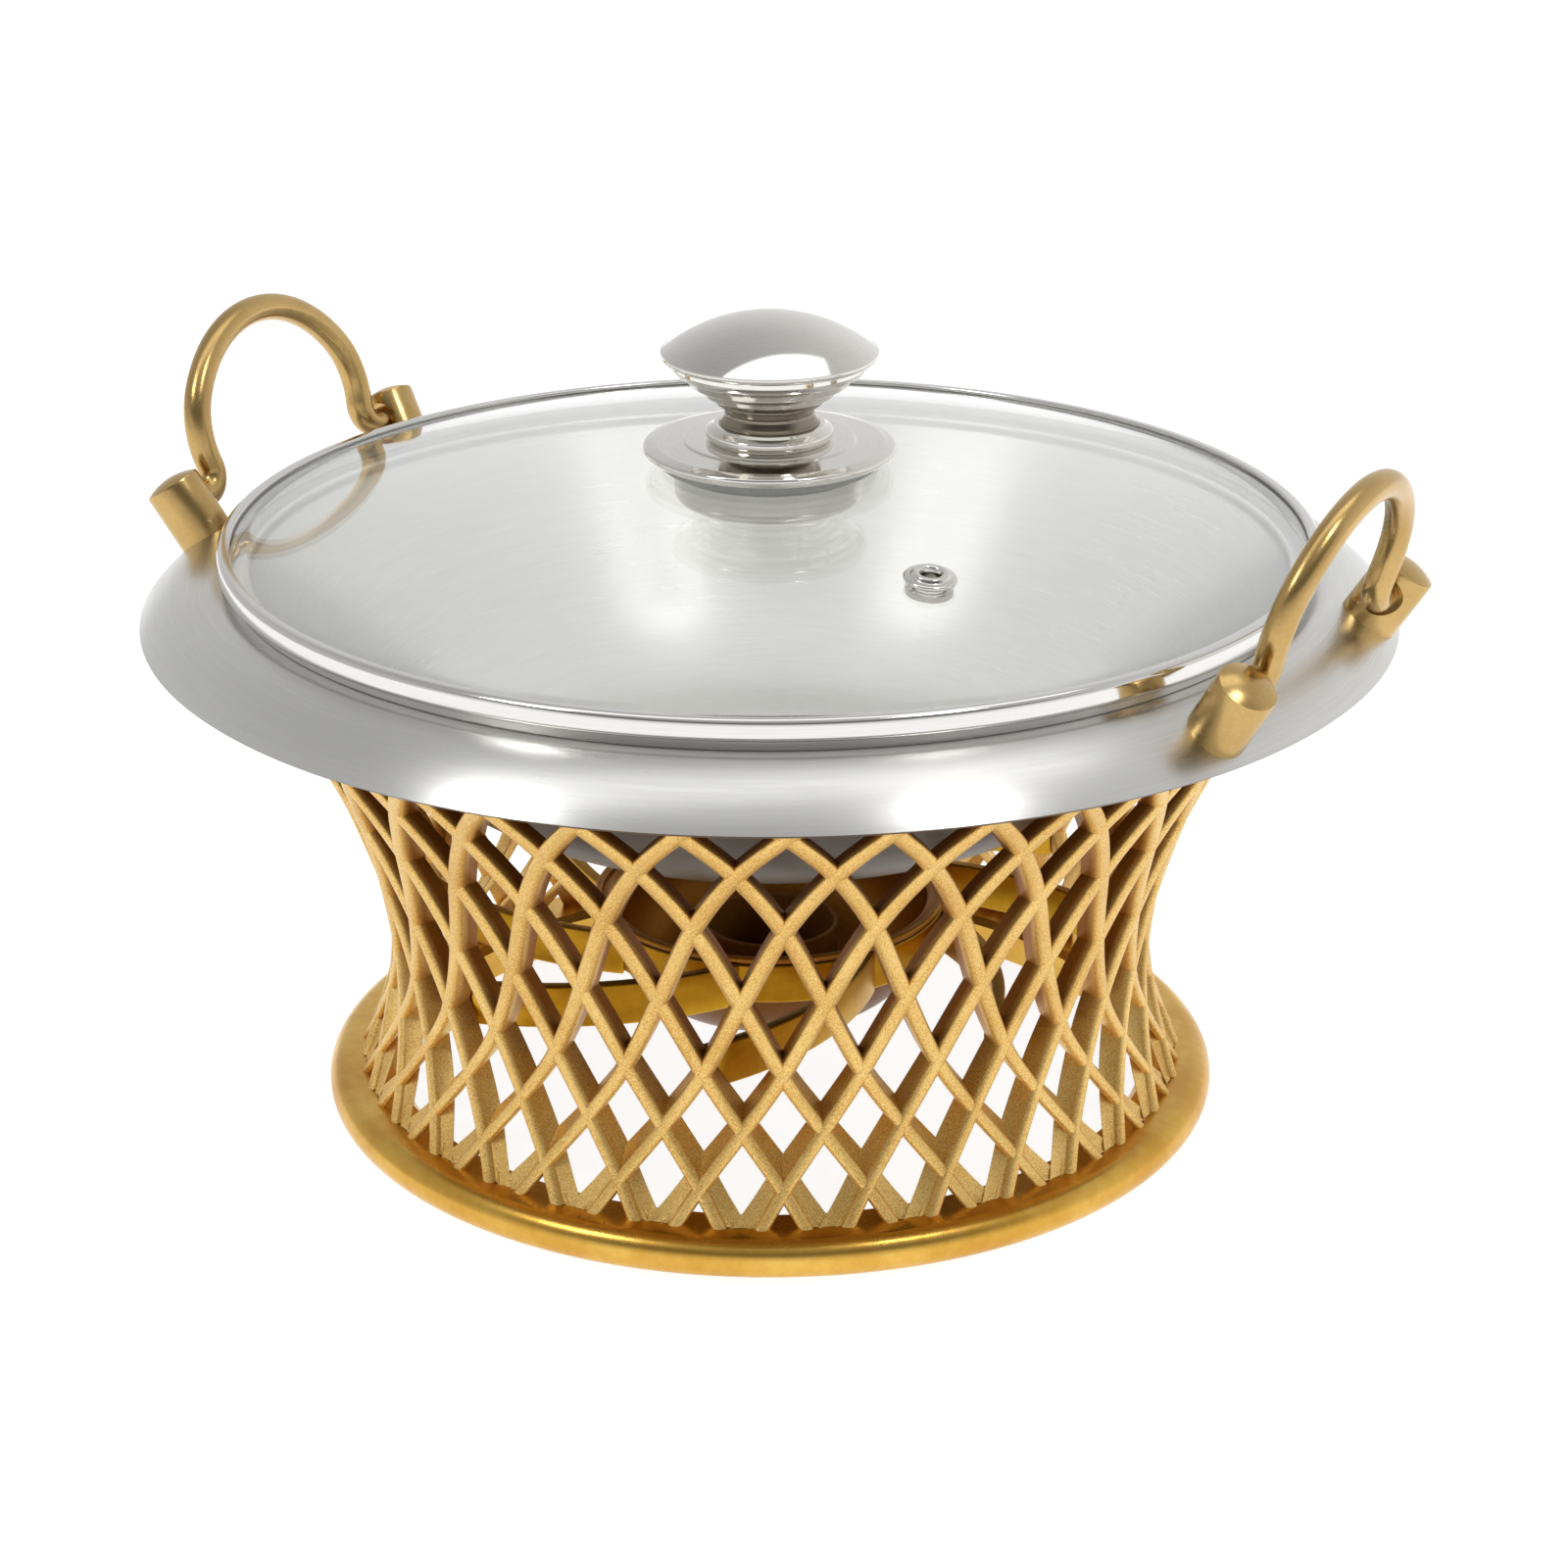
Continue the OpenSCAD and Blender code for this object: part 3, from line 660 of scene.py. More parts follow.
@dataclass(frozen=True)
class SpunSteel:
    """Stainless steel with the marks of turning or round brushing.

    Args:
        name: The material's name.
        colour: Colour of the steel.
        rough: Roughness.
        stretch: Anisotropy of its highlights, 0 for none.
        marks: Turning marks per metre.
        depth: Height of the marks, in metres.
        under: Share of the colour that is left on faces that look down, as painted shade.
    """

    name: str
    colour: Colour = (0.72, 0.715, 0.69)
    rough: float = 0.3
    stretch: float = 0.7
    marks: float = 1100.0
    depth: float = 0.000012
    under: Colour = PLAIN

    def material(self) -> bpy.types.Material:
        """Builds the material."""
        g = Graph(self.name)
        lines = g.noise(g.rings(self.marks, 6.0), 1.0, 3.0, 0.6)
        cloud = g.noise(g.place, 22.0, 2.0)
        dark = tuple(c * 0.93 for c in self.colour)
        steel = g.blend(g.spread(lines, 0.0, 1.0), dark, self.colour)
        # Painted shade: faces that look down are darkened.
        if self.under != PLAIN:
            steel = g.shaded_below(steel, self.under)
        g.link(steel, g.shader.inputs["Base Color"])
        tone = g.math("ADD", g.math("MULTIPLY", lines, 0.6), g.math("MULTIPLY", cloud, 0.4))
        g.link(g.spread(tone, self.rough + 0.04, self.rough - 0.04), g.shader.inputs["Roughness"])
        g.set(Metallic=1.0, Anisotropic=self.stretch, Anisotropic_Rotation=0.25)
        if self.stretch > 0:
            tangent = g.add("ShaderNodeTangent", direction_type="RADIAL", axis="Z")
            g.link(tangent.outputs[0], g.shader.inputs["Tangent"])
        g.bump(lines, self.depth)
        return g.material


@dataclass(frozen=True)
class ClearGlass:
    """Clear tempered glass that lets lamps through.

    Args:
        name: The material's name.
        tint: Colour of the light that passes.
    """

    name: str
    tint: Colour = (0.985, 0.99, 0.985)

    def material(self) -> bpy.types.Material:
        """Builds the material."""
        g = Graph(self.name)
        smear = g.noise(g.place, 30.0, 3.0)
        g.link(g.spread(smear, 0.0, 0.012), g.shader.inputs["Roughness"])
        g.set(Base_Color=(*self.tint, 1), Transmission_Weight=1.0, IOR=1.5)
        clear = g.add("ShaderNodeBsdfTransparent")
        clear.inputs["Color"].default_value = (*self.tint, 1)
        path = g.add("ShaderNodeLightPath")
        mix = g.add("ShaderNodeMixShader")
        passed = g.math("MAXIMUM", path.outputs["Is Shadow Ray"], path.outputs["Is Diffuse Ray"])
        g.link(passed, mix.inputs[0])
        g.link(g.shader.outputs[0], mix.inputs[1])
        g.link(clear.outputs[0], mix.inputs[2])
        g.link(mix.outputs[0], g.output.inputs["Surface"])
        return g.material


@dataclass(frozen=True)
class SoftRubber:
    """Matt silicone rubber.

    Args:
        name: The material's name.
        colour: Its colour.
    """

    name: str
    colour: Colour = (0.42, 0.42, 0.40)

    def material(self) -> bpy.types.Material:
        """Builds the material."""
        g = Graph(self.name)
        fine = g.noise(g.place, 900.0, 2.0)
        dark = tuple(c * 0.85 for c in self.colour)
        g.link(g.blend(g.spread(fine, 0.0, 1.0), dark, self.colour), g.shader.inputs["Base Color"])
        g.link(g.spread(fine, 0.5, 0.6), g.shader.inputs["Roughness"])
        g.bump(fine, 0.00003)
        return g.material


class Look(Enum):
    """The finishes of the pan and its stand."""

    LATTICE = GrainedGold("grained_gold")
    FOOT = SatinMetal(
        "satin_gold", light=(0.76, 0.47, 0.10), deep=(0.62, 0.33, 0.05),
        rough=0.27, grain=260.0, depth=0.00003)
    CRADLE = SatinMetal(
        "amber_gold", light=(0.62, 0.36, 0.03), deep=(0.50, 0.26, 0.015),
        rough=0.34, grain=500.0, depth=0.00004)
    # The bowl's faces that look down carry painted shade.
    BURNER = SatinMetal(
        "copper_gold", light=(0.60, 0.27, 0.03), deep=(0.50, 0.20, 0.015),
        rough=0.36, metallic=0.7, under=(0.3, 0.25, 0.12))
    CUP = SatinMetal(
        "brown_steel", light=(0.34, 0.13, 0.012), deep=(0.28, 0.10, 0.008), rough=0.55, metallic=0.2)
    BRASS = SatinMetal(
        "satin_brass", light=(0.56, 0.38, 0.15), deep=(0.47, 0.31, 0.115), rough=0.24, grain=900.0)
    # Painted shade on the pan's underside, tinted warm as a painted reflection of the gold stand.
    PAN = SpunSteel("spun_steel", under=(0.17, 0.145, 0.125))
    BAND = SpunSteel(
        "bright_steel", colour=(0.74, 0.73, 0.71), rough=0.12, stretch=0.3, marks=2500.0, depth=0.000004)
    KNOB = SpunSteel(
        "polished_steel", colour=(0.76, 0.74, 0.70), rough=0.09, stretch=0.0, marks=2500.0, depth=0.000001)
    # Painted shade and painted dark reflection: the knob's polished steel, darkened for the neck's recess.
    NECK = SpunSteel(
        "painted_shade_steel", colour=(0.27, 0.235, 0.185), rough=0.12, stretch=0.0, marks=2500.0, depth=0.000001)
    GLASS = ClearGlass("clear_glass")
    RUBBER = SoftRubber("silicone")
    FASTENER = SpunSteel("plain_steel", colour=(0.55, 0.54, 0.52), rough=0.25, stretch=0.0)


class Wardrobe:
    """Makes each finish once and puts it on pieces."""

    def __init__(self) -> None:
        """Starts with no material made."""
        self.made: dict[Look, bpy.types.Material] = {}

    def dress(self, piece: bpy.types.Object, look: Look) -> None:
        """Gives a piece its finish.

        Args:
            piece: The piece.
            look: The finish.
        """
        if look not in self.made:
            self.made[look] = look.value.material()
        piece.data.materials.clear()
        piece.data.materials.append(self.made[look])


WARDROBE = Wardrobe()


def fit(piece: bpy.types.Object, body: str, look: Look, slot: str, *nodes: str) -> None:
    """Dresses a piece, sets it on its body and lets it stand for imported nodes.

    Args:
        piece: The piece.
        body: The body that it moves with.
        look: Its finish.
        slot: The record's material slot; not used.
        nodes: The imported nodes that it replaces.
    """
    WARDROBE.dress(piece, look)
    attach(piece, body)
    if nodes:
        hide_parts(*nodes)
    log.info("%s rides on %s, %d faces", piece.name, body, len(piece.data.polygons))


def keep(node: str, look: Look) -> None:
    """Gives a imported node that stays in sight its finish."""
    WARDROBE.dress(frame["nodes"][node], look)
    log.info("%s keeps its packed shape", node)


# ---------------------------------------------------------------- the stand


@dataclass
class Stand:
    """The lattice wall, its rings and the cradle that holds the burner.

    Args:
        foot_r: Radius of the foot ring.
        roll_r: Radius of its rolled edge.
        land_h: Height of the flat on which the lattice stands.
        land_w: How far that flat reaches inwards from the lattice.
        waist_r: Radius of the lattice at its waist.
        waist_z: Height of the waist.
        foot_wall_r: Radius of the lattice at its foot.
        top_wall_r: Radius of the lattice at its top.
        top_curve: Power of the wall's curve above the waist.
        foot_curve: Power of the wall's curve below it.
        bars: Number of bars that lean each way.
        bar_w: Width of a bar.
        foot_bar_w: Width of a bar at the lattice's foot.
        full_w_z: Height at which a bar has its full width.
        bar_t: Depth of a bar.
        ridge: Width of the rounding of a bar's front.
        back: Width of the broken edges of its back.
        proud: How far the bars that lean to the right stand out.
        waist_row: The crossing row at the waist.
        foot_rise: How far a bar's inner edge lies above its outer one at the foot.
        rise_top: Height at which the two edges lie level.
        turn: Angle of the first crossing, in degrees.
        rings_per_row: Sections of a bar from one crossing row to the next.
        rows: The crossing rows, each with its share of the lattice's height.
        hoop: Inner and outer radius of the cradle ring.
        arms: Number of cradle arms.
        arm_edge: Width of the arms' broken edges.
    """

    foot_r: float = 126 * MM
    roll_r: float = 5.5 * MM
    land_h: float = 11 * MM
    land_w: float = 11 * MM
    waist_r: float = 107.3 * MM
    waist_z: float = 46 * MM
    foot_wall_r: float = 117 * MM
    top_wall_r: float = 141 * MM
    top_curve: float = 1.7
    foot_curve: float = 1.8
    bars: int = 32
    bar_w: float = 4.7 * MM
    foot_bar_w: float = 3.5 * MM
    full_w_z: float = 75 * MM
    bar_t: float = 6.5 * MM
    ridge: float = 1.7 * MM
    back: float = 0.35 * MM
    proud: float = 0.2 * MM
    waist_row: int = 2
    foot_rise: float = 7.0 * MM
    rise_top: float = 81 * MM
    turn: float = -1.8
    rings_per_row: int = 5
    rows: tuple[Point, ...] = (
        (-0.5, 0.0), (0, 0.07), (1, 0.189), (2, 0.316), (3, 0.49), (4, 0.687), (5, 0.84), (6, 0.953),
        (6.45, 1.0))
    hoop: Point = (46.2 * MM, 49.6 * MM)
    arms: int = 8
    arm_edge: float = 0.6 * MM
    base: float = field(init=False)
    top: float = field(init=False)

    def __post_init__(self) -> None:
        """Reads the heights of the lattice's foot and top."""
        low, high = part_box("lattice")
        self.base, self.top = low[2], high[2]

    def height(self, row: float) -> float:
        """Height of a crossing row, on a smooth curve through the rows that are given.

        Args:
            row: The row's number, whole or not.

        Returns:
            The height above the ground, below the lattice's foot for the rows before the first.
        """
        last = len(self.rows) - 1
        below = max((i for i, (at, _) in enumerate(self.rows[:-1]) if at <= row), default=0)
        (r0, s0), (r1, s1) = self.rows[below], self.rows[below + 1]
        slopes = []
        for i in (below, below + 1):
            before, after = self.rows[max(i - 1, 0)], self.rows[min(i + 1, last)]
            slopes.append((after[1] - before[1]) / (after[0] - before[0]) * (r1 - r0))
        t = (row - r0) / (r1 - r0)
        if t < 0:
            share = s0 + slopes[0] * t
        else:
            share = (s0 * (2 * t ** 3 - 3 * t ** 2 + 1) + slopes[0] * (t ** 3 - 2 * t ** 2 + t)
                     + s1 * (3 * t ** 2 - 2 * t ** 3) + slopes[1] * (t ** 3 - t ** 2))
        return self.base + (self.top - self.base) * min(share, 1.0)

    def wall(self, z: float) -> float:
        """Radius of the lattice's outer face at a height."""
        if z > self.waist_z:
            share = (z - self.waist_z) / (self.top - self.waist_z)
            return self.waist_r + (self.top_wall_r - self.waist_r) * share ** self.top_curve
        share = (self.waist_z - z) / (self.waist_z - self.base)
        return self.waist_r + (self.foot_wall_r - self.waist_r) * share ** self.foot_curve

    def rise(self, z: float) -> float:
        """How far a bar's inner edge lies above its outer one at a height."""
        share = (z - self.base) / (self.rise_top - self.base)
        return self.foot_rise * max(0.0, 1 - share) ** 2

    def breadth(self, row: float) -> float:
        """Level width of a bar at a row, wider where the bar leans more."""
        climb = (self.height(row + 0.2) - self.height(row - 0.2)) / 0.4
        lean = atan2(self.wall(self.height(row)) * pi / self.bars, climb)
        share = min(1.0, max(0.0, (self.height(row) - self.base) / (self.full_w_z - self.base)))
        return (self.foot_bar_w + (self.bar_w - self.foot_bar_w) * share) / cos(lean)

    def section(self, radius: float, z: float, breadth: float) -> bpy.types.Object:
        """A bar's section, rounded in front, with its inner edges barely broken.

        Args:
            radius: Radius of the wall's outer face.
            z: Height of the section.
            breadth: Its level width.

        Returns:
            The section, one face in edit mode, all of it selected.
        """
        deselect_all()
        bpy.ops.mesh.primitive_plane_add(size=1, location=(radius - self.bar_t / 2, 0, z))
        piece = bpy.context.active_object
        piece.scale = (self.bar_t, breadth, 1)
        bpy.ops.object.transform_apply(location=True, rotation=True, scale=True)
        edit(piece)
        middle = radius - self.bar_t / 2
        for front, width, segments in ((True, self.ridge, 5), (False, self.back, 2)):
            pick(piece, lambda at: (at.x > middle) == front)
            bpy.ops.mesh.bevel(offset=width, segments=segments, affect="VERTICES")
        bpy.ops.mesh.select_all(action="SELECT")
        return piece

    def bar(self, proud: float) -> bpy.types.Object:
        """One bar, raised ring by ring along the wall, then lifted at its back.

        The newest ring always stands at angle 0, and the rings below it are turned away from it.

        Args:
            proud: How far its ridge stands out beyond the wall.

        Returns:
            The bar that leans to the right, with the crossing at the waist at angle 0.
        """
        pitch = pi / self.bars
        first, last = self.rows[0][0] - 1, self.rows[-1][0]
        count = round((last - first) * self.rings_per_row)
        steps = [first + (last - first) * i / count for i in range(count + 1)]
        rings = [(self.wall(z) + proud, z) for z in map(self.height, steps)]
        widths = [self.breadth(row) for row in steps]
        piece = self.section(*rings[0], widths[0])
        for i in range(count):
            (radius, z), (out, up) = rings[i], rings[i + 1]
            bpy.ops.mesh.extrude_region_move(TRANSFORM_OT_translate={"value": (out - radius, 0, up - z)})
            bpy.ops.transform.resize(value=(1, widths[i + 1] / widths[i], 1), center_override=(0, 0, 0))
            bpy.ops.mesh.select_all(action="INVERT")
            turn_by(-pitch * (last - first) / count)
            bpy.ops.mesh.select_all(action="INVERT")
        for radius, z in reversed(rings):
            middle = radius - self.bar_t / 2
            pick(piece, lambda at: abs(at.z - z) < MERGE and hypot(at.x, at.y) < middle)
            bpy.ops.transform.translate(value=(0, 0, self.rise(z)))
        bpy.ops.mesh.select_all(action="SELECT")
        bpy.ops.mesh.bisect(plane_co=(0, 0, self.base), plane_no=(0, 0, 1), use_fill=True, clear_inner=True)
        close(piece, "bar")
        return placed(piece, Matrix.Rotation(pitch * (last - self.waist_row), 4, "Z"))

    def lattice(self) -> None:
        """Builds the lattice wall from its crossing bars."""
        right = self.bar(self.proud)
        left = placed(self.bar(0.0), Matrix.Scale(-1, 4, (0, 1, 0)))
        close(left, "bar_left")
        bars = [
            copied(bar, Matrix.Rotation(radians(self.turn) + 2 * pi * i / self.bars, 4, "Z"))
            for bar in (left, right) for i in range(self.bars)
        ]
        for bar in (left, right):
            bpy.data.objects.remove(bar, do_unlink=True)
        fit(joined(bars, "lattice_bars"), "stand", Look.LATTICE, "lattice_gold", "lattice")

    def foot(self) -> None:
        """Builds the rolled foot ring."""
        roll = self.foot_r - self.roll_r
        land_in = self.foot_wall_r - self.land_w
        slope, edge = 2 * MM, 0.6 * MM
        outline = [
            *arc((roll, self.roll_r), self.roll_r, -90, 90, 22),
            (land_in + slope, self.land_h), (land_in, self.land_h - slope),
            (land_in, edge), (land_in + edge, 0),
        ]
        fit(turned("foot_rolled", outline, 192), "stand", Look.FOOT, "stand_gold", "foot_ring")

    def cradle(self) -> None:
        """Builds the arms and the ring that hold the burner."""
        low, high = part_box("cradle_ring")
        inner, outer = self.hoop
        below, above = 0.5 * MM, 0.7 * MM
        ring = softened([Corner(inner, low[2], below), Corner(outer, low[2], below),
                         Corner(outer, high[2], above), Corner(inner, high[2], above)])
        fit(turned("cradle_hoop", ring), "stand", Look.CRADLE, "cradle_gold", "cradle_ring")
        for i in range(1, self.arms + 1):
            node = f"cradle_arm_{i}"
            piece = eased_copy(node, f"cradle_bar_{i}", self.arm_edge)
            fit(piece, "stand", Look.CRADLE, "cradle_gold", node)

    def seat(self) -> None:
        """Finishes the ring that the pan sits in."""
        keep("seat_ring", Look.FOOT)

    def build(self) -> None:
        """Builds the whole stand."""
        self.foot()
        self.lattice()
        self.seat()
        self.cradle()


# ---------------------------------------------------------------- the burner


@dataclass
class Burner:
    """The bowl that hangs in the cradle, with its fuel cup.

    Args:
        base_r: Radius of the bowl's flat bottom.
        wall_r: Radius of its wall.
        sheet_t: Thickness of its sheet.
        bead_r: Radius of its rolled rim.
        bead_out: How far the middle of that roll lies outside the wall.
        cup_r: Radius of the fuel cup.
        cup_t: Thickness of its sheet.
        cup_soft: Rounding of its bottom.
        cup_lip: Radius of its curled lip.
    """

    base_r: float = 20 * MM
    wall_r: float = 45.6 * MM
    sheet_t: float = 1.0 * MM
    bead_r: float = 1.1 * MM
    bead_out: float = 3 * MM
    cup_r: float = 19 * MM
    cup_t: float = 0.8 * MM
    cup_soft: float = 2 * MM
    cup_lip: float = 0.6 * MM

    def bowl(self) -> None:
        """Builds the bowl with its rolled rim."""
        low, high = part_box("burner_bowl")
        rim_z = high[2] - 2 * self.bead_r
        wall_r, turn_out, turn_in = self.wall_r, 0.3 * MM, 0.2 * MM
        corner = wall_r - self.base_r
        middle = (self.base_r, low[2] + corner)
        bead = (wall_r + self.bead_out, rim_z + self.bead_r)
        path = [
            (0, low[2]), *arc(middle, corner, -90, 0, 18),
            (wall_r, rim_z - turn_out), (wall_r + turn_out, rim_z),
        ]
        inner = [
            (wall_r + turn_in, rim_z + self.sheet_t), (wall_r - self.sheet_t, rim_z + turn_in),
            *arc(middle, corner - self.sheet_t, 0, -90, 18), (0, low[2] + self.sheet_t),
        ]
        outline = path + arc(bead, self.bead_r, -90, 200, 14) + inner
        fit(turned("burner_dish", outline), "burner", Look.BURNER, "burner_gold", "burner_bowl")

    def cup(self) -> None:
        """Builds the fuel cup with its curled lip."""
        low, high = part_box("fuel_cup")
        soft, lip = self.cup_soft, self.cup_lip
        corner = (self.cup_r - soft, low[2] + soft)
        curl = (self.cup_r - self.cup_t / 2, high[2] - lip)
        outline = [
            (0, low[2]), *arc(corner, soft, -90, 0, 6), *arc(curl, lip, -30, 200, 10),
            *arc(corner, soft - self.cup_t, 0, -90, 6), (0, low[2] + self.cup_t),
        ]
        fit(turned("fuel_pot", outline, 96), "cup", Look.CUP, "burner_gold", "fuel_cup")

    def build(self) -> None:
        """Builds the bowl and its cup."""
        self.bowl()
        self.cup()


# ---------------------------------------------------------------- the pan


@dataclass
class Pan:
    """The spun steel pan with its lid ledge, its brim and the handle posts.

    Args:
        sheet_t: Thickness of the sheet.
        base_r: Radius of the flat bottom.
        corner_r: Rounding between the bottom and the wall.
        mouth_r: Radius of the ledge's inner edge.
        collar_h: How far the wall's top lies below the ledge.
        collar_step: Depth and width of the step in the collar.
        crown_r: Radius at which the brim starts.
        brim_r: Radius of the brim's edge.
        brim_drop: How far that edge lies below the ledge.
        bulge: Height of the brim's arc over its chord.
        post_r: Radius at which the handle posts stand.
        post_a: Angle of a post from the handle's middle, in degrees.
        post_w: Width of a post.
        post_h: Height of a post.
        post_dome: Height of its domed top.
        post_sunk: How deep its foot goes into the brim.
        rod_r: Radius of the handle's rod.
        rod_gap: Gap round the rod in its bore.
        bore: Start along the hinge line and depth of the rod's bore.
        mouth: Radius, start and depth of the bore's wider mouth.
    """

    sheet_t: float = 1.2 * MM
    base_r: float = 61 * MM
    corner_r: float = 60 * MM
    mouth_r: float = 142 * MM
    collar_h: float = 7 * MM
    collar_step: float = 3 * MM
    crown_r: float = 151.5 * MM
    brim_r: float = 171.5 * MM
    brim_drop: float = 12 * MM
    bulge: float = 1.8 * MM
    post_r: float = 163.5 * MM
    post_a: float = 17.5
    post_w: float = 16 * MM
    post_h: float = 19 * MM
    post_dome: float = 2 * MM
    post_sunk: float = 0.9 * MM
    rod_r: float = 3.9 * MM
    rod_gap: float = 0.05 * MM
    bore: Point = (42 * MM, 13.5 * MM)
    mouth: tuple[float, float, float] = (5.4 * MM, 40 * MM, 5.2 * MM)

    @property
    def ledge_z(self) -> float:
        """Height of the ledge that carries the lid."""
        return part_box("lid_band")[0][2]

    def brim(self) -> tuple[Point, float, float, float]:
        """The brim's arc: its centre, radius and first and last angle in degrees."""
        run = self.brim_r - self.crown_r
        chord = hypot(run, self.brim_drop)
        radius = (chord ** 2 / 4 + self.bulge ** 2) / (2 * self.bulge)
        half = degrees(asin(chord / 2 / radius))
        first = degrees(atan2(self.brim_drop, run)) - half
        centre = (self.crown_r - radius * sin(radians(first)), self.ledge_z - radius * cos(radians(first)))
        return centre, radius, 90 - first, 90 - first - 2 * half

    def face(self) -> list[Point]:
        """The pan's upper and inner face, from the axis to the brim's edge."""
        z = self.ledge_z
        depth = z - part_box("pan_body")[0][2]
        centre = (self.base_r, z - depth + self.corner_r)
        top = (self.mouth_r - self.collar_step, z - self.collar_h)
        away = (top[0] - centre[0], top[1] - centre[1])
        slope = degrees(atan2(away[1], away[0]) + asin(self.corner_r / hypot(*away)))
        t = self.sheet_t
        lip = [
            Corner(top[0] - t * sin(radians(slope)), top[1] + t * cos(radians(slope))),
            Corner(self.mouth_r - t, z - self.collar_step, 1.5 * MM),
            Corner(self.mouth_r - t, z, 1.2 * MM),
            Corner(self.crown_r - 1 * MM, z),
        ]
        before = 5 * MM
        ledge = softened([Corner(top[0] - before, top[1] - before), *lip])[1:]
        brim_centre, radius, first, last = self.brim()
        return [
            (0, z - depth + t), *arc(centre, self.corner_r - t, -90, slope - 90, 24),
            *ledge, *arc(brim_centre, radius, first, last, 24),
        ]

    def body(self) -> None:
        """Builds the pan from one sheet, with a rounded edge."""
        piece = turned("pan_spun", sheet(self.face(), self.sheet_t), 256)
        fit(piece, "pan", Look.PAN, "pan_steel", "pan_body")

    def post_place(self, side_x: int, side_y: int) -> Matrix:
        """Where a handle post stands.

        Args:
            side_x: 1 for the right handle, -1 for the left one.
            side_y: 1 for the rear post, -1 for the front one.

        Returns:
            The place of the post's foot, with +Z along the post.
        """
        (centre_r, centre_z), radius, _, _ = self.brim()
        tilt = asin((self.post_r - centre_r) / radius)
        foot_z = centre_z + radius * cos(tilt)
        turn = radians(side_y * self.post_a if side_x > 0 else 180 - side_y * self.post_a)
        return (Matrix.Rotation(turn, 4, "Z") @ Matrix.Translation((self.post_r, 0, foot_z))
                @ Matrix.Rotation(tilt, 4, "Y"))

    def post(self, side_x: int, side_y: int, name: str, node: str) -> None:
        """Builds one handle post with the bore that takes the rod."""
        edge, shoulder = 0.7 * MM, ((0, -0.5 * MM), (-0.25 * MM, 0.15 * MM))
        radius = self.post_w / 2
        straight = self.post_h - self.post_dome
        ball = (radius ** 2 + self.post_dome ** 2) / (2 * self.post_dome)
        reach = degrees(asin((radius - edge) / ball))
        outline = [
            (0, -self.post_sunk), (radius, -self.post_sunk),
            *((radius + out, straight + up) for out, up in shoulder),
            *arc((0, self.post_h - ball), ball, 90 - reach, 90, 12),
        ]
        piece = placed(turned("post", outline, 72), self.post_place(side_x, side_y))
        hinge = HINGE[side_x]
        deselect_all()
        for width, start, depth in ((self.rod_r + self.rod_gap, *self.bore), self.mouth):
            bpy.ops.mesh.primitive_cylinder_add(
                vertices=48, radius=width, depth=depth, rotation=(radians(90), 0, 0),
                location=(hinge.x, side_y * (start + depth / 2), hinge.z))
            piece = bored(piece, bpy.context.active_object)
            deselect_all()
        close(piece, name, radians(28))
        fit(piece, "pan", Look.BRASS, "handle_brass", node)

    def build(self) -> None:
        """Builds the pan, its posts and their fasteners."""
        self.body()
        for side_x, hand in ((1, "right"), (-1, "left")):
            for side_y, end in ((-1, "front"), (1, "rear")):
                self.post(side_x, side_y, f"post_turned_{hand}_{end}", f"post_{hand}_{end}")
        keep("post_washers", Look.FASTENER)
        keep("post_screws", Look.FASTENER)


# ---------------------------------------------------------------- the handles


def hinge_line(side_x: int) -> Vector:
    """A point on a handle's hinge line, read from its joint."""
    name = "handle_right_swing" if side_x > 0 else "handle_left_swing"
    joint = next(j for j in frame["joints"] if j["name"] == name)
    return Vector(joint["pos_m"])


HINGE = {1: hinge_line(1), -1: hinge_line(-1)}


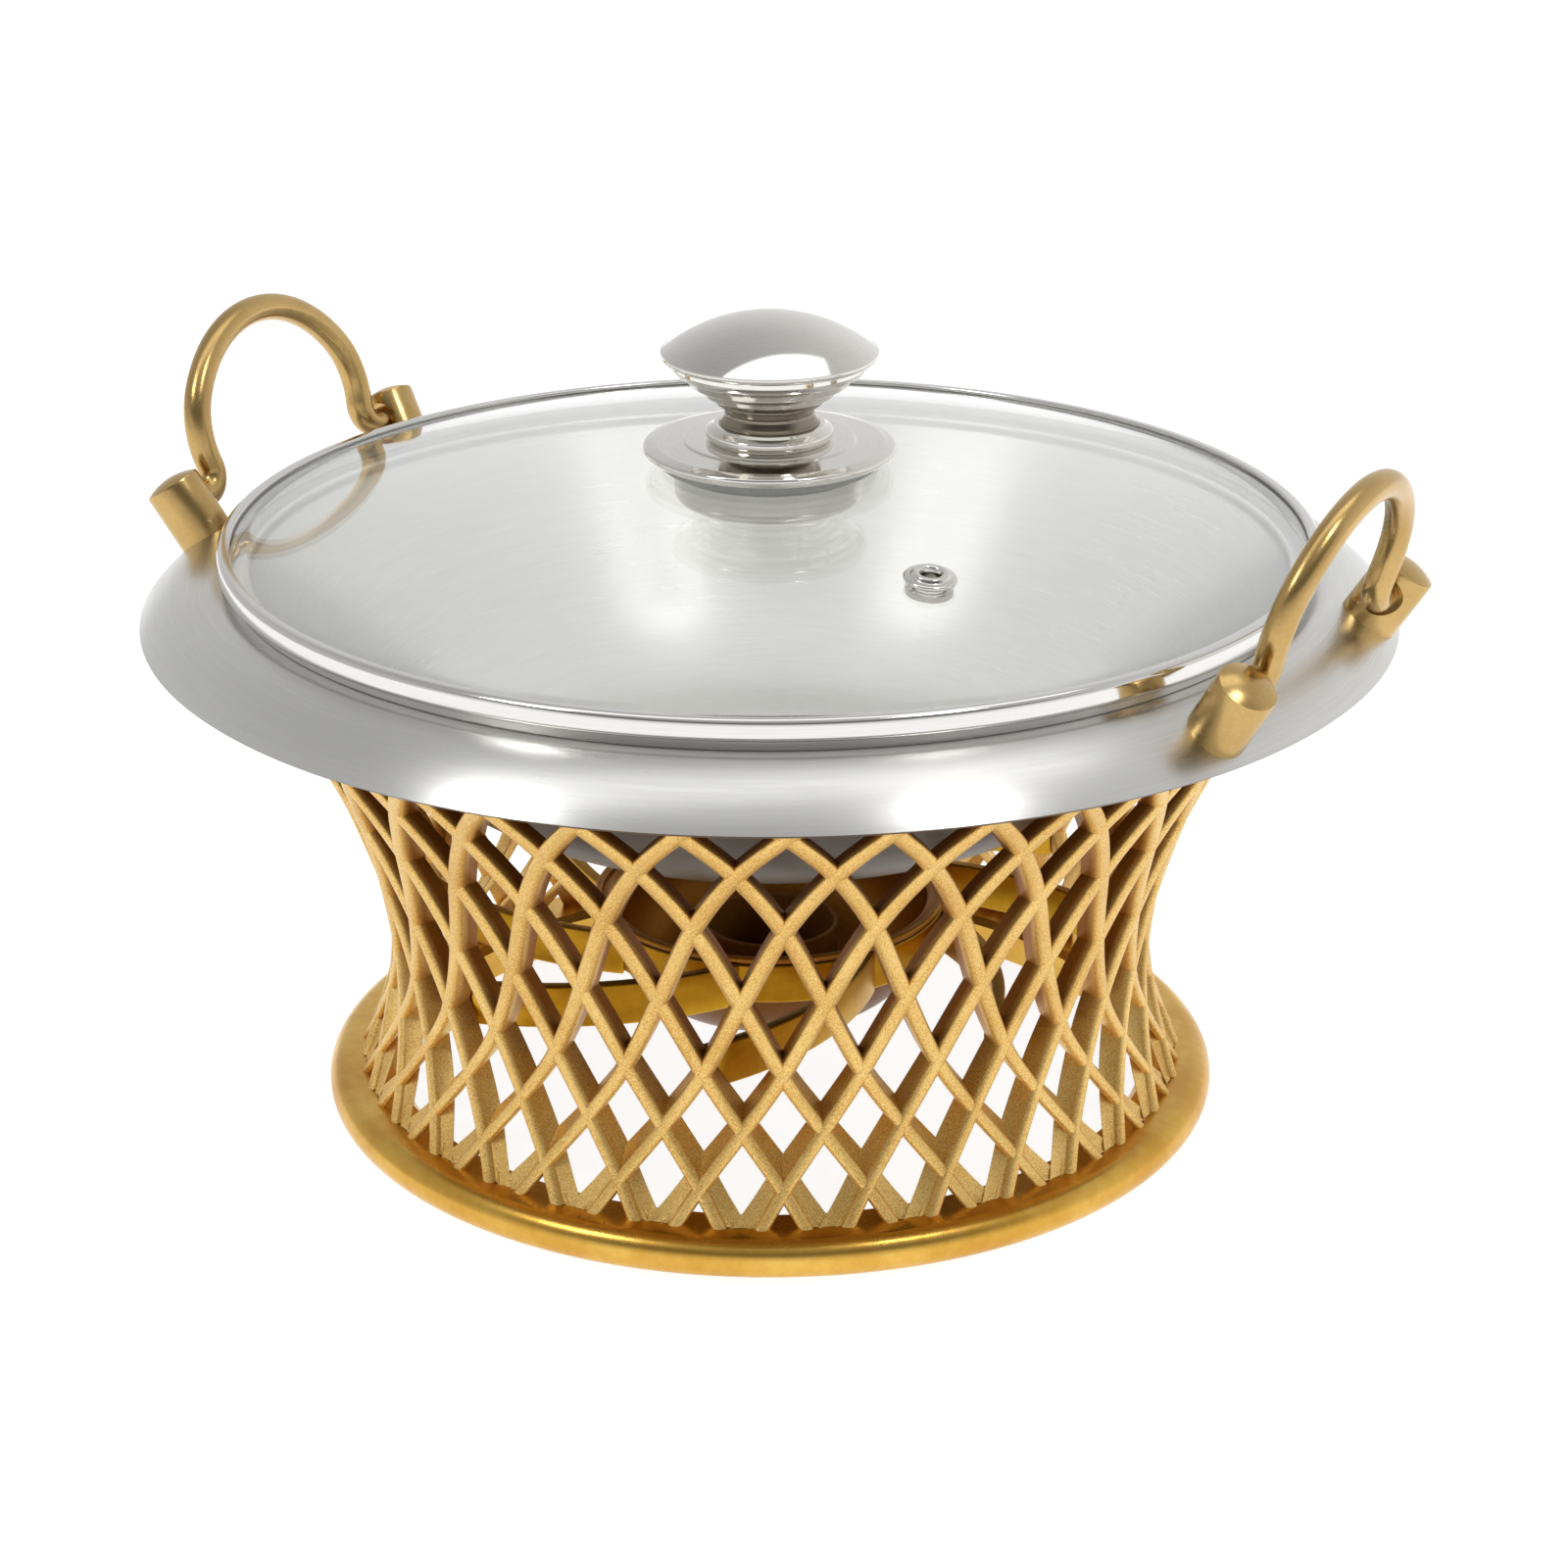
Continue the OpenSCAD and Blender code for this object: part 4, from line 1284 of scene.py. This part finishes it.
@dataclass
class Handle:
    """A bent brass rod that swings in two posts.

    Args:
        side_x: 1 for the right handle, -1 for the left one.
        name: The piece's name.
        body: The body that it is.
        rod_r: Radius of the rod.
        half_w: Half the handle's width.
        height: Height of the rod's middle line over the hinge.
        shoulder_r: Radius of the two shoulders.
        bend_r: Radius of the bends at the posts.
        bend_y: Distance of those bends from the handle's middle.
        end_y: Distance of the rod's ends from the handle's middle.
        lean: Lean at rest, in degrees outwards.
        sides: Number of faces round the rod.
    """

    side_x: int
    name: str
    body: str
    rod_r: float = 3.9 * MM
    half_w: float = 37 * MM
    height: float = 44.5 * MM
    shoulder_r: float = 24 * MM
    bend_r: float = 6 * MM
    bend_y: float = 41.969 * MM
    end_y: float = 54.8 * MM
    lean: float = 16.0
    sides: int = 32

    def rod(self) -> bpy.types.Object:
        """Bends the rod by one extrusion and five spins, from journal to journal.

        Returns:
            The rod, upright in the Y-Z plane, with its hinge line on the Y axis.
        """
        shoulder_y = self.half_w - self.shoulder_r
        apart = self.bend_y - shoulder_y
        climb = sqrt((self.shoulder_r + self.bend_r) ** 2 - apart ** 2)
        shoulder_v = self.bend_r + climb
        shoulder_a = atan2(climb, apart)
        gap = self.height - shoulder_v
        top_r = (shoulder_y ** 2 + gap ** 2 - self.shoulder_r ** 2) / (2 * (gap - self.shoulder_r))
        top_a = asin(shoulder_y / (top_r - self.shoulder_r))
        deselect_all()
        bpy.ops.mesh.primitive_circle_add(
            vertices=self.sides, radius=self.rod_r, fill_type="NGON", location=(0, -self.end_y, 0),
            rotation=(radians(90), 0, 0))
        piece = bpy.context.active_object
        bpy.ops.object.transform_apply(location=True, rotation=True, scale=True)
        edit(piece)
        straight = self.end_y - self.bend_y
        bpy.ops.mesh.extrude_region_move(TRANSFORM_OT_translate={"value": (0, straight, 0)})
        self.bend(-self.bend_y, self.bend_r, pi / 2 + shoulder_a, 10, 1)
        self.bend(-shoulder_y, shoulder_v, shoulder_a + pi / 2 - top_a, 16, -1)
        self.bend(0, self.height - top_r, 2 * top_a, 22, -1)
        self.bend(shoulder_y, shoulder_v, shoulder_a + pi / 2 - top_a, 16, -1)
        self.bend(self.bend_y, self.bend_r, pi / 2 + shoulder_a, 10, 1)
        bpy.ops.mesh.extrude_region_move(TRANSFORM_OT_translate={"value": (0, straight, 0)})
        return close(piece, self.name, radians(50))

    def bend(self, y: float, v: float, angle: float, steps: int, way: int) -> None:
        """Spins the rod's end face about an axis along X.

        Args:
            y: Place of the bend's centre.
            v: Height of the bend's centre.
            angle: The bend's angle, in radians.
            steps: Number of rings in it.
            way: 1 to bend upwards, -1 to bend back.
        """
        bpy.ops.mesh.spin(steps=steps, angle=angle, center=(0, y, v), axis=(-way, 0, 0))

    def build(self) -> None:
        """Builds the handle at its rest lean."""
        hinge = HINGE[self.side_x]
        lean = Matrix.Rotation(radians(self.side_x * self.lean), 4, "Y")
        piece = placed(self.rod(), Matrix.Translation((hinge.x, 0, hinge.z)) @ lean)
        fit(piece, self.body, Look.BRASS, "handle_brass", self.body)


# ---------------------------------------------------------------- the lid


@dataclass
class Lid:
    """The glass lid with its steel band, its vent and its knob.

    Args:
        radius: Radius of the band.
        band_h: Height of the band without its skirt.
        band_t: Thickness of the band.
        lip: Width of the band over the glass.
        glass_t: Thickness of the glass.
        glass_gap: Gap between the glass's edge and the band.
        seat_gap: Gap between the glass's faces and the band.
        hole_r: Radius of the knob's hole.
        vent_r: Distance of the vent from the middle.
        vent_a: The vent's angle, in degrees.
        vent_hole_r: Radius of the vent's hole in the glass.
    """

    radius: float = 150 * MM
    band_h: float = 6 * MM
    band_t: float = 0.8 * MM
    lip: float = 3.6 * MM
    glass_t: float = 4 * MM
    glass_gap: float = 0.1 * MM
    seat_gap: float = 0.05 * MM
    hole_r: float = 5 * MM
    vent_r: float = 90 * MM
    vent_a: float = -33.0
    vent_hole_r: float = 4.34 * MM

    def heights(self) -> tuple[float, float, float, float]:
        """Heights of the band's underside and top, and of the glass's rim and crown."""
        _, band_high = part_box("lid_band")
        glass_low, glass_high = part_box("lid_glass")
        return band_high[2] - self.band_h, band_high[2], glass_low[2] + self.glass_t, glass_high[2]

    def dome(self) -> tuple[float, float]:
        """Radius of the glass dome's upper face and the distance to which it reaches."""
        _, _, rim, crown = self.heights()
        reach = self.radius - self.lip - 1 * MM
        rise = crown - rim
        return (reach ** 2 + rise ** 2) / (2 * rise), reach

    def upper(self, r: float) -> float:
        """Height of the glass's upper face at a distance from the axis."""
        ball, _ = self.dome()
        return self.heights()[3] - ball + sqrt(ball ** 2 - r ** 2)

    def glass(self) -> None:
        """Builds the domed glass with its flat rim and its vent hole."""
        _, reach = self.dome()
        edge = self.radius - self.band_t - self.glass_gap
        places = [self.hole_r + (reach - self.hole_r) * i / 40 for i in range(41)]
        top = [(r, self.upper(r)) for r in places]
        rim = self.heights()[2]
        outline = [*top, (edge, rim - self.seat_gap), (edge, rim - self.glass_t + self.seat_gap)]
        outline += [(r, z - self.glass_t) for r, z in reversed(top)]
        piece = turned("glass_dome", outline, 192)
        deselect_all()
        bpy.ops.mesh.primitive_cylinder_add(vertices=48, radius=self.vent_hole_r, depth=5 * self.glass_t)
        cutter = placed(bpy.context.active_object, self.vent_place())
        close(bored(piece, cutter), "glass_dome")
        fit(piece, "lid", Look.GLASS, "lid_glass", "lid_glass")

    def band(self) -> None:
        """Builds the steel band that is rolled round the glass."""
        low, top, rim, _ = self.heights()
        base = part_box("lid_band")[0][2]
        out = self.radius - self.lip
        seat = rim - self.glass_t
        half_skirt = 0.6 * MM
        skirt_out, skirt_in = out + half_skirt, out - half_skirt
        inside = self.radius - self.band_t
        corners = [
            Corner(skirt_in, base, 0.4 * MM), Corner(skirt_out, base, 0.4 * MM),
            Corner(skirt_out, low, 0.3 * MM), Corner(self.radius, low, 1.6 * MM),
            Corner(self.radius, top, 1.9 * MM), Corner(out, top, 0.5 * MM),
            Corner(out, rim, 0.1 * MM), Corner(inside, rim), Corner(inside, seat), Corner(skirt_in, seat),
        ]
        fit(turned("band_rolled", softened(corners, 6), 256), "lid", Look.BAND, "lid_steel", "lid_band")

    def vent_place(self) -> Matrix:
        """Where the vent sits, with +Z square to the glass."""
        ball, _ = self.dome()
        lean = asin(self.vent_r / ball)
        spot = Matrix.Translation((self.vent_r, 0, self.upper(self.vent_r)))
        return Matrix.Rotation(radians(self.vent_a), 4, "Z") @ spot @ Matrix.Rotation(lean, 4, "Y")

    def vent(self) -> None:
        """Builds the steam vent's eyelet."""
        bore, shank = 2.5, 4.24
        foot = -self.glass_t / MM - 1.6
        corners = corners_mm(
            (bore, foot), (shank, foot), (shank, 0.15), (7, 0.15, 0.6), (7, 1.3, 0.9), (5.2, 1.6, 0.5),
            (4.6, 2.5, 0.5), (3.1, 2.5, 0.8), (bore, 1.2, 0.5))
        piece = placed(turned("vent_rivet", softened(corners), 64), self.vent_place())
        fit(piece, "lid", Look.KNOB, "knob_steel", "vent_eyelet")
        keep("vent_ring", Look.KNOB)

    def build(self) -> None:
        """Builds the lid."""
        self.glass()
        self.band()
        self.vent()
        Knob().build()
        for node in ("plate_gasket", "inner_gasket"):
            keep(node, Look.RUBBER)
        keep("inner_cup", Look.BAND)
        keep("knob_screw", Look.FASTENER)


@dataclass
class Knob:
    """The turned steel knob on the lid, piece by piece from the glass up.

    Args:
        bore: Radius of the screw's hole, in millimetres, as its profiles are.
        steps: Number of faces round the knob.
        cap_r: Radius of the cap.
        cap_edge: Height of the cap's edge.
        cap_bead: Radius of the cap's rounded edge.
        cap_ease: How far the edge and the dome stay inside that radius.
    """

    bore: float = 2.75
    steps: int = 160
    cap_r: float = 29.5 * MM
    cap_edge: float = 1.6 * MM
    cap_bead: float = 1.3 * MM
    cap_ease: Point = (1.5 * MM, 0.3 * MM)

    def part(self, name: str, node: str, look: Look, height: float, *rows: tuple[float, ...]) -> None:
        """Turns one piece of the knob.

        Args:
            name: The piece's name.
            node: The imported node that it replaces, whose underside is height 0.
            look: Its finish.
            height: The piece's height, in millimetres.
            rows: Its outer corners, from the underside up, in millimetres.
        """
        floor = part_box(node)[0][2]
        corners = corners_mm((self.bore, 0), *rows, (self.bore, height))
        outline = [(r, z + floor) for r, z in softened(corners)]
        fit(turned(name, outline, self.steps), "lid", look, "knob_steel", node)

    def plate(self) -> None:
        """Turns the plate that lies on the glass."""
        self.part(
            "knob_dish", "knob_plate", Look.KNOB, 5.0, (30.5, 0), (31.9, 0.5, 0.2), (32.3, 1.0, 0.2),
            (33.4, 1.2, 0.6), (34.5, 2.4, 0.9), (34.2, 3.5, 0.8), (31.0, 4.2, 2), (23.6, 4.5, 0.2),
            (23.0, 5.0, 0.2))

    def collar(self) -> None:
        """Turns the collar on the plate."""
        self.part(
            "knob_bead", "knob_collar", Look.KNOB, 4.5, (16.4, 0, 0.4), (17.3, 1.2, 0.8), (17.3, 2.8, 0.8),
            (15.6, 3.8, 0.4), (15.0, 4.5, 0.2))

    def neck(self) -> None:
        """Turns the dark neck."""
        # The neck's steel is darkened as painted shade and painted reflection.
        self.part(
            "knob_neck", "knob_stem", Look.NECK, 6.5, (14.2, 0, 0.3), (13.2, 1.0, 0.4), (12.0, 3.2, 2),
            (13.0, 5.4, 0.6), (14.5, 5.8, 0.2), (14.5, 6.5))

    def stepped(self) -> None:
        """Turns the stepped piece under the cap."""
        self.part(
            "knob_steps", "knob_underplate", Look.KNOB, 11.5,
            (14.5, 0, 0.3), (17.8, 1.9, 0.5), (18.6, 3.3, 0.5), (21.8, 4.9, 0.5),
            (22.9, 6.6, 0.5), (25.6, 8.1, 0.5), (26.5, 9.7, 0.4), (26.5, 11.5))

    def cap(self) -> None:
        """Turns the domed cap."""
        low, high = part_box("knob_cap")
        dome = high[2] - low[2] - self.cap_edge
        ball = (self.cap_r ** 2 + dome ** 2) / (2 * dome)
        foot_in, dome_in = self.cap_ease
        span = degrees(asin((self.cap_r - dome_in) / ball))
        bead = (self.cap_r - self.cap_bead, low[2] + self.cap_bead)
        outline = [
            (0, low[2]), (self.cap_r - foot_in, low[2]), *arc(bead, self.cap_bead, -80, 25, 8),
            *arc((0, high[2] - ball), ball, 90 - span, 90, 40),
        ]
        fit(turned("knob_crown", outline, self.steps), "lid", Look.KNOB, "knob_steel", "knob_cap")

    def build(self) -> None:
        """Builds the knob from the plate up."""
        self.plate()
        self.collar()
        self.neck()
        self.stepped()
        self.cap()


# ---------------------------------------------------------------- the studio


@dataclass(frozen=True)
class SoftBox:
    """One rectangular lamp of the studio.

    Args:
        name: Its name.
        place: Where it hangs, to the camera's right, towards the camera and up.
        size: Its width and depth.
        watts: Its power.
        mirrored: Whether polished metal shows it.
    """

    name: str
    place: tuple[float, float, float]
    size: tuple[float, float]
    watts: float
    mirrored: bool = True


@dataclass
class Studio:
    """The floor, the lamps, the white surroundings and the camera.

    Args:
        eye: Place of the camera.
        pitch: Its tilt from straight down, in degrees.
        azimuth: Its angle round the object, in degrees.
        lens: Its focal length, in millimetres.
        floor_size: Length of the floor's sides.
        floor_tone: Grey of the floor.
        floor_glow: Light that the floor adds where it is seen or mirrored.
        floor_dim: Share of that light elsewhere.
        aim: The place that the lamps hang about.
        front_sky: Tones of the surroundings behind the camera, by height from 0 to 1.
        side_sky: Tones of the surroundings elsewhere.
        front_span: Where the one turns into the other, towards the camera.
        side_span: Where the left turns into the right.
        left_share: Share of the light on the left.
        boxes: The lamps.
    """

    eye: tuple[float, float, float] = (0.5138, -0.8821, 0.4963)
    pitch: float = 90 - 21.726
    azimuth: float = 30.0
    lens: float = 90.0
    floor_size: float = 8.0
    floor_tone: float = 0.35
    floor_glow: float = 0.88
    floor_dim: float = 0.7
    aim: tuple[float, float, float] = (0.0, 0.0, 0.14)
    front_sky: tuple[Point, ...] = (
        (0.0, 1.0), (0.25, 0.85), (0.38, 0.30), (0.52, 0.12), (0.68, 0.25), (0.85, 0.45), (0.97, 0.60))
    side_sky: tuple[Point, ...] = (
        (0.0, 0.95), (0.2, 0.90), (0.45, 0.82), (0.75, 0.66), (0.97, 0.58))
    front_span: Point = (0.1, 0.6)
    side_span: Point = (-0.5, 0.3)
    left_share: float = 0.7
    boxes: tuple[SoftBox, ...] = (
        SoftBox("top_strip", (-0.05, -0.12, 1.6), (2.0, 0.6), 4.0),
        SoftBox("right_spot", (0.66, 0.53, 1.55), (0.3, 0.3), 4.0),
        SoftBox("left_spot", (-0.95, 0.5, 1.3), (0.3, 0.3), 4.5),
        SoftBox("right_fill", (1.6, -0.1, 1.0), (0.9, 0.9), 14.0, False),
        SoftBox("left_fill", (-1.7, 0.3, 0.9), (0.9, 0.9), 6.0, False))

    def camera(self) -> None:
        """Sets the camera."""
        data = bpy.data.cameras.new("camera")
        data.lens = self.lens
        data.sensor_width = 36.0
        data.clip_start = 0.01
        camera = bpy.data.objects.new("camera", data)
        camera.location = self.eye
        camera.rotation_euler = (radians(self.pitch), 0, radians(self.azimuth))
        bpy.context.scene.collection.objects.link(camera)
        bpy.context.scene.camera = camera

    @staticmethod
    def tones(tree: bpy.types.NodeTree, height: bpy.types.NodeSocket,
              band: tuple[Point, ...]) -> bpy.types.NodeSocket:
        """A grey that follows the height of a direction.

        Args:
            tree: The world's node tree.
            height: The height's socket.
            band: Heights and their greys.

        Returns:
            The grey's socket.
        """
        ramp = tree.nodes.new("ShaderNodeValToRGB")
        steps = ramp.color_ramp.elements
        while len(steps) < len(band):
            steps.new(1.0)
        for step, (place, tone) in zip(steps, band):
            step.position = place
            step.color = (tone, tone, tone, 1)
        tree.links.new(height, ramp.inputs[0])
        return ramp.outputs[0]

    @staticmethod
    def share(tree: bpy.types.NodeTree, way: bpy.types.NodeSocket, axis: tuple[float, float, float],
              span: Point, low: float) -> bpy.types.NodeSocket:
        """A share that grows as a direction turns towards an axis.

        Args:
            tree: The world's node tree.
            way: The direction's socket.
            axis: The axis.
            span: Where the growth starts and ends.
            low: The share before it starts.

        Returns:
            The share's socket.
        """
        dot = tree.nodes.new("ShaderNodeVectorMath")
        dot.operation = "DOT_PRODUCT"
        dot.inputs[1].default_value = axis
        tree.links.new(way, dot.inputs[0])
        spread = tree.nodes.new("ShaderNodeMapRange")
        for key, number in (("From Min", span[0]), ("From Max", span[1]), ("To Min", low), ("To Max", 1.0)):
            spread.inputs[key].default_value = number
        tree.links.new(dot.outputs["Value"], spread.inputs["Value"])
        return spread.outputs["Result"]

    def world(self) -> None:
        """Makes the surroundings white to the camera and through glass, and graded to all else."""
        world = bpy.data.worlds.new("studio")
        bpy.context.scene.world = world
        world.use_nodes = True
        tree = world.node_tree
        nodes, links = tree.nodes, tree.links
        nodes.clear()
        way = nodes.new("ShaderNodeTexCoord").outputs["Generated"]
        split = nodes.new("ShaderNodeSeparateXYZ")
        links.new(way, split.inputs[0])
        side, front = (self.tones(tree, split.outputs[2], band) for band in (self.side_sky, self.front_sky))
        turn = radians(self.azimuth)
        near = self.share(tree, way, (sin(turn), -cos(turn), 0.0), self.front_span, 0.0)
        right = self.share(tree, way, (cos(turn), sin(turn), 0.0), self.side_span, self.left_share)
        dimmed = nodes.new("ShaderNodeVectorMath")
        dimmed.operation = "SCALE"
        links.new(side, dimmed.inputs[0])
        links.new(right, dimmed.inputs["Scale"])
        mixed = nodes.new("ShaderNodeMix")
        mixed.data_type = "VECTOR"
        links.new(near, mixed.inputs["Factor"])
        for tone, slot in zip((dimmed.outputs[0], front), mix_slots(mixed, "VECTOR")):
            links.new(tone, slot)
        seen, sky = (nodes.new("ShaderNodeBackground") for _ in range(2))
        seen.inputs["Color"].default_value = (*PLAIN, 1)
        links.new(mix_result(mixed, "VECTOR"), sky.inputs["Color"])
        path = nodes.new("ShaderNodeLightPath")
        white = nodes.new("ShaderNodeMath")
        white.operation = "MAXIMUM"
        links.new(path.outputs["Is Camera Ray"], white.inputs[0])
        links.new(path.outputs["Is Transmission Ray"], white.inputs[1])
        eye = nodes.new("ShaderNodeMixShader")
        for source, slot in zip((white, sky, seen), eye.inputs):
            links.new(source.outputs[0], slot)
        links.new(eye.outputs[0], nodes.new("ShaderNodeOutputWorld").inputs["Surface"])

    def lamp(self, box: SoftBox) -> None:
        """Hangs a soft box, turned to the object.

        Args:
            box: The soft box.
        """
        data = bpy.data.lights.new(box.name, "AREA")
        data.shape = "RECTANGLE"
        data.size, data.size_y = box.size
        data.energy = box.watts
        lamp = bpy.data.objects.new(box.name, data)
        turn = Matrix.Rotation(radians(self.azimuth), 4, "Z")
        aim = Matrix.Translation(self.aim)
        across, near, up = box.place
        facing = Vector((across, -near, up)).to_track_quat("Z", "Y").to_matrix().to_4x4()
        lamp.matrix_world = aim @ turn @ Matrix.Translation((across, -near, up)) @ facing
        lamp.visible_glossy = box.mirrored
        lamp.visible_transmission = False
        bpy.context.scene.collection.objects.link(lamp)

    def floor(self) -> None:
        """Lays the pale floor."""
        deselect_all()
        bpy.ops.mesh.primitive_plane_add(size=self.floor_size)
        floor = bpy.context.active_object
        floor.name = "floor"
        g = Graph("pale_floor")
        dark, light = self.floor_tone, self.floor_tone * 1.01
        grain = g.blend(g.noise(g.place, 60.0, 2.0), (dark, dark, dark), (light, light, light))
        g.link(grain, g.shader.inputs["Base Color"])
        g.set(Roughness=1.0, Specular_IOR_Level=0.0)
        glow = g.add("ShaderNodeEmission")
        path = g.add("ShaderNodeLightPath")
        seen = g.math("MAXIMUM", path.outputs["Is Camera Ray"], path.outputs["Is Transmission Ray"])
        seen = g.math("MAXIMUM", seen, path.outputs["Is Glossy Ray"])
        dim = self.floor_glow * self.floor_dim
        g.link(g.spread(seen, dim, self.floor_glow, 0.0, 1.0), glow.inputs["Strength"])
        both = g.add("ShaderNodeAddShader")
        g.link(g.shader.outputs[0], both.inputs[0])
        g.link(glow.outputs[0], both.inputs[1])
        g.link(both.outputs[0], g.output.inputs["Surface"])
        floor.data.materials.append(g.material)

    def build(self) -> None:
        """Sets up the whole studio."""
        self.camera()
        self.world()
        self.floor()
        for box in self.boxes:
            self.lamp(box)


def main() -> None:
    """Builds the object and its studio, and keeps its size."""
    logging.basicConfig(level=logging.INFO, format="%(message)s")
    Studio().build()
    for part in (Stand(), Burner(), Pan(), Handle(1, "rod_right", "handle_right"),
                 Handle(-1, "rod_left", "handle_left"), Lid()):
        part.build()
    bpy.context.scene.view_settings.view_transform = "Standard"
    bpy.context.view_layer.update()


if __name__ == "__main__":
    main()
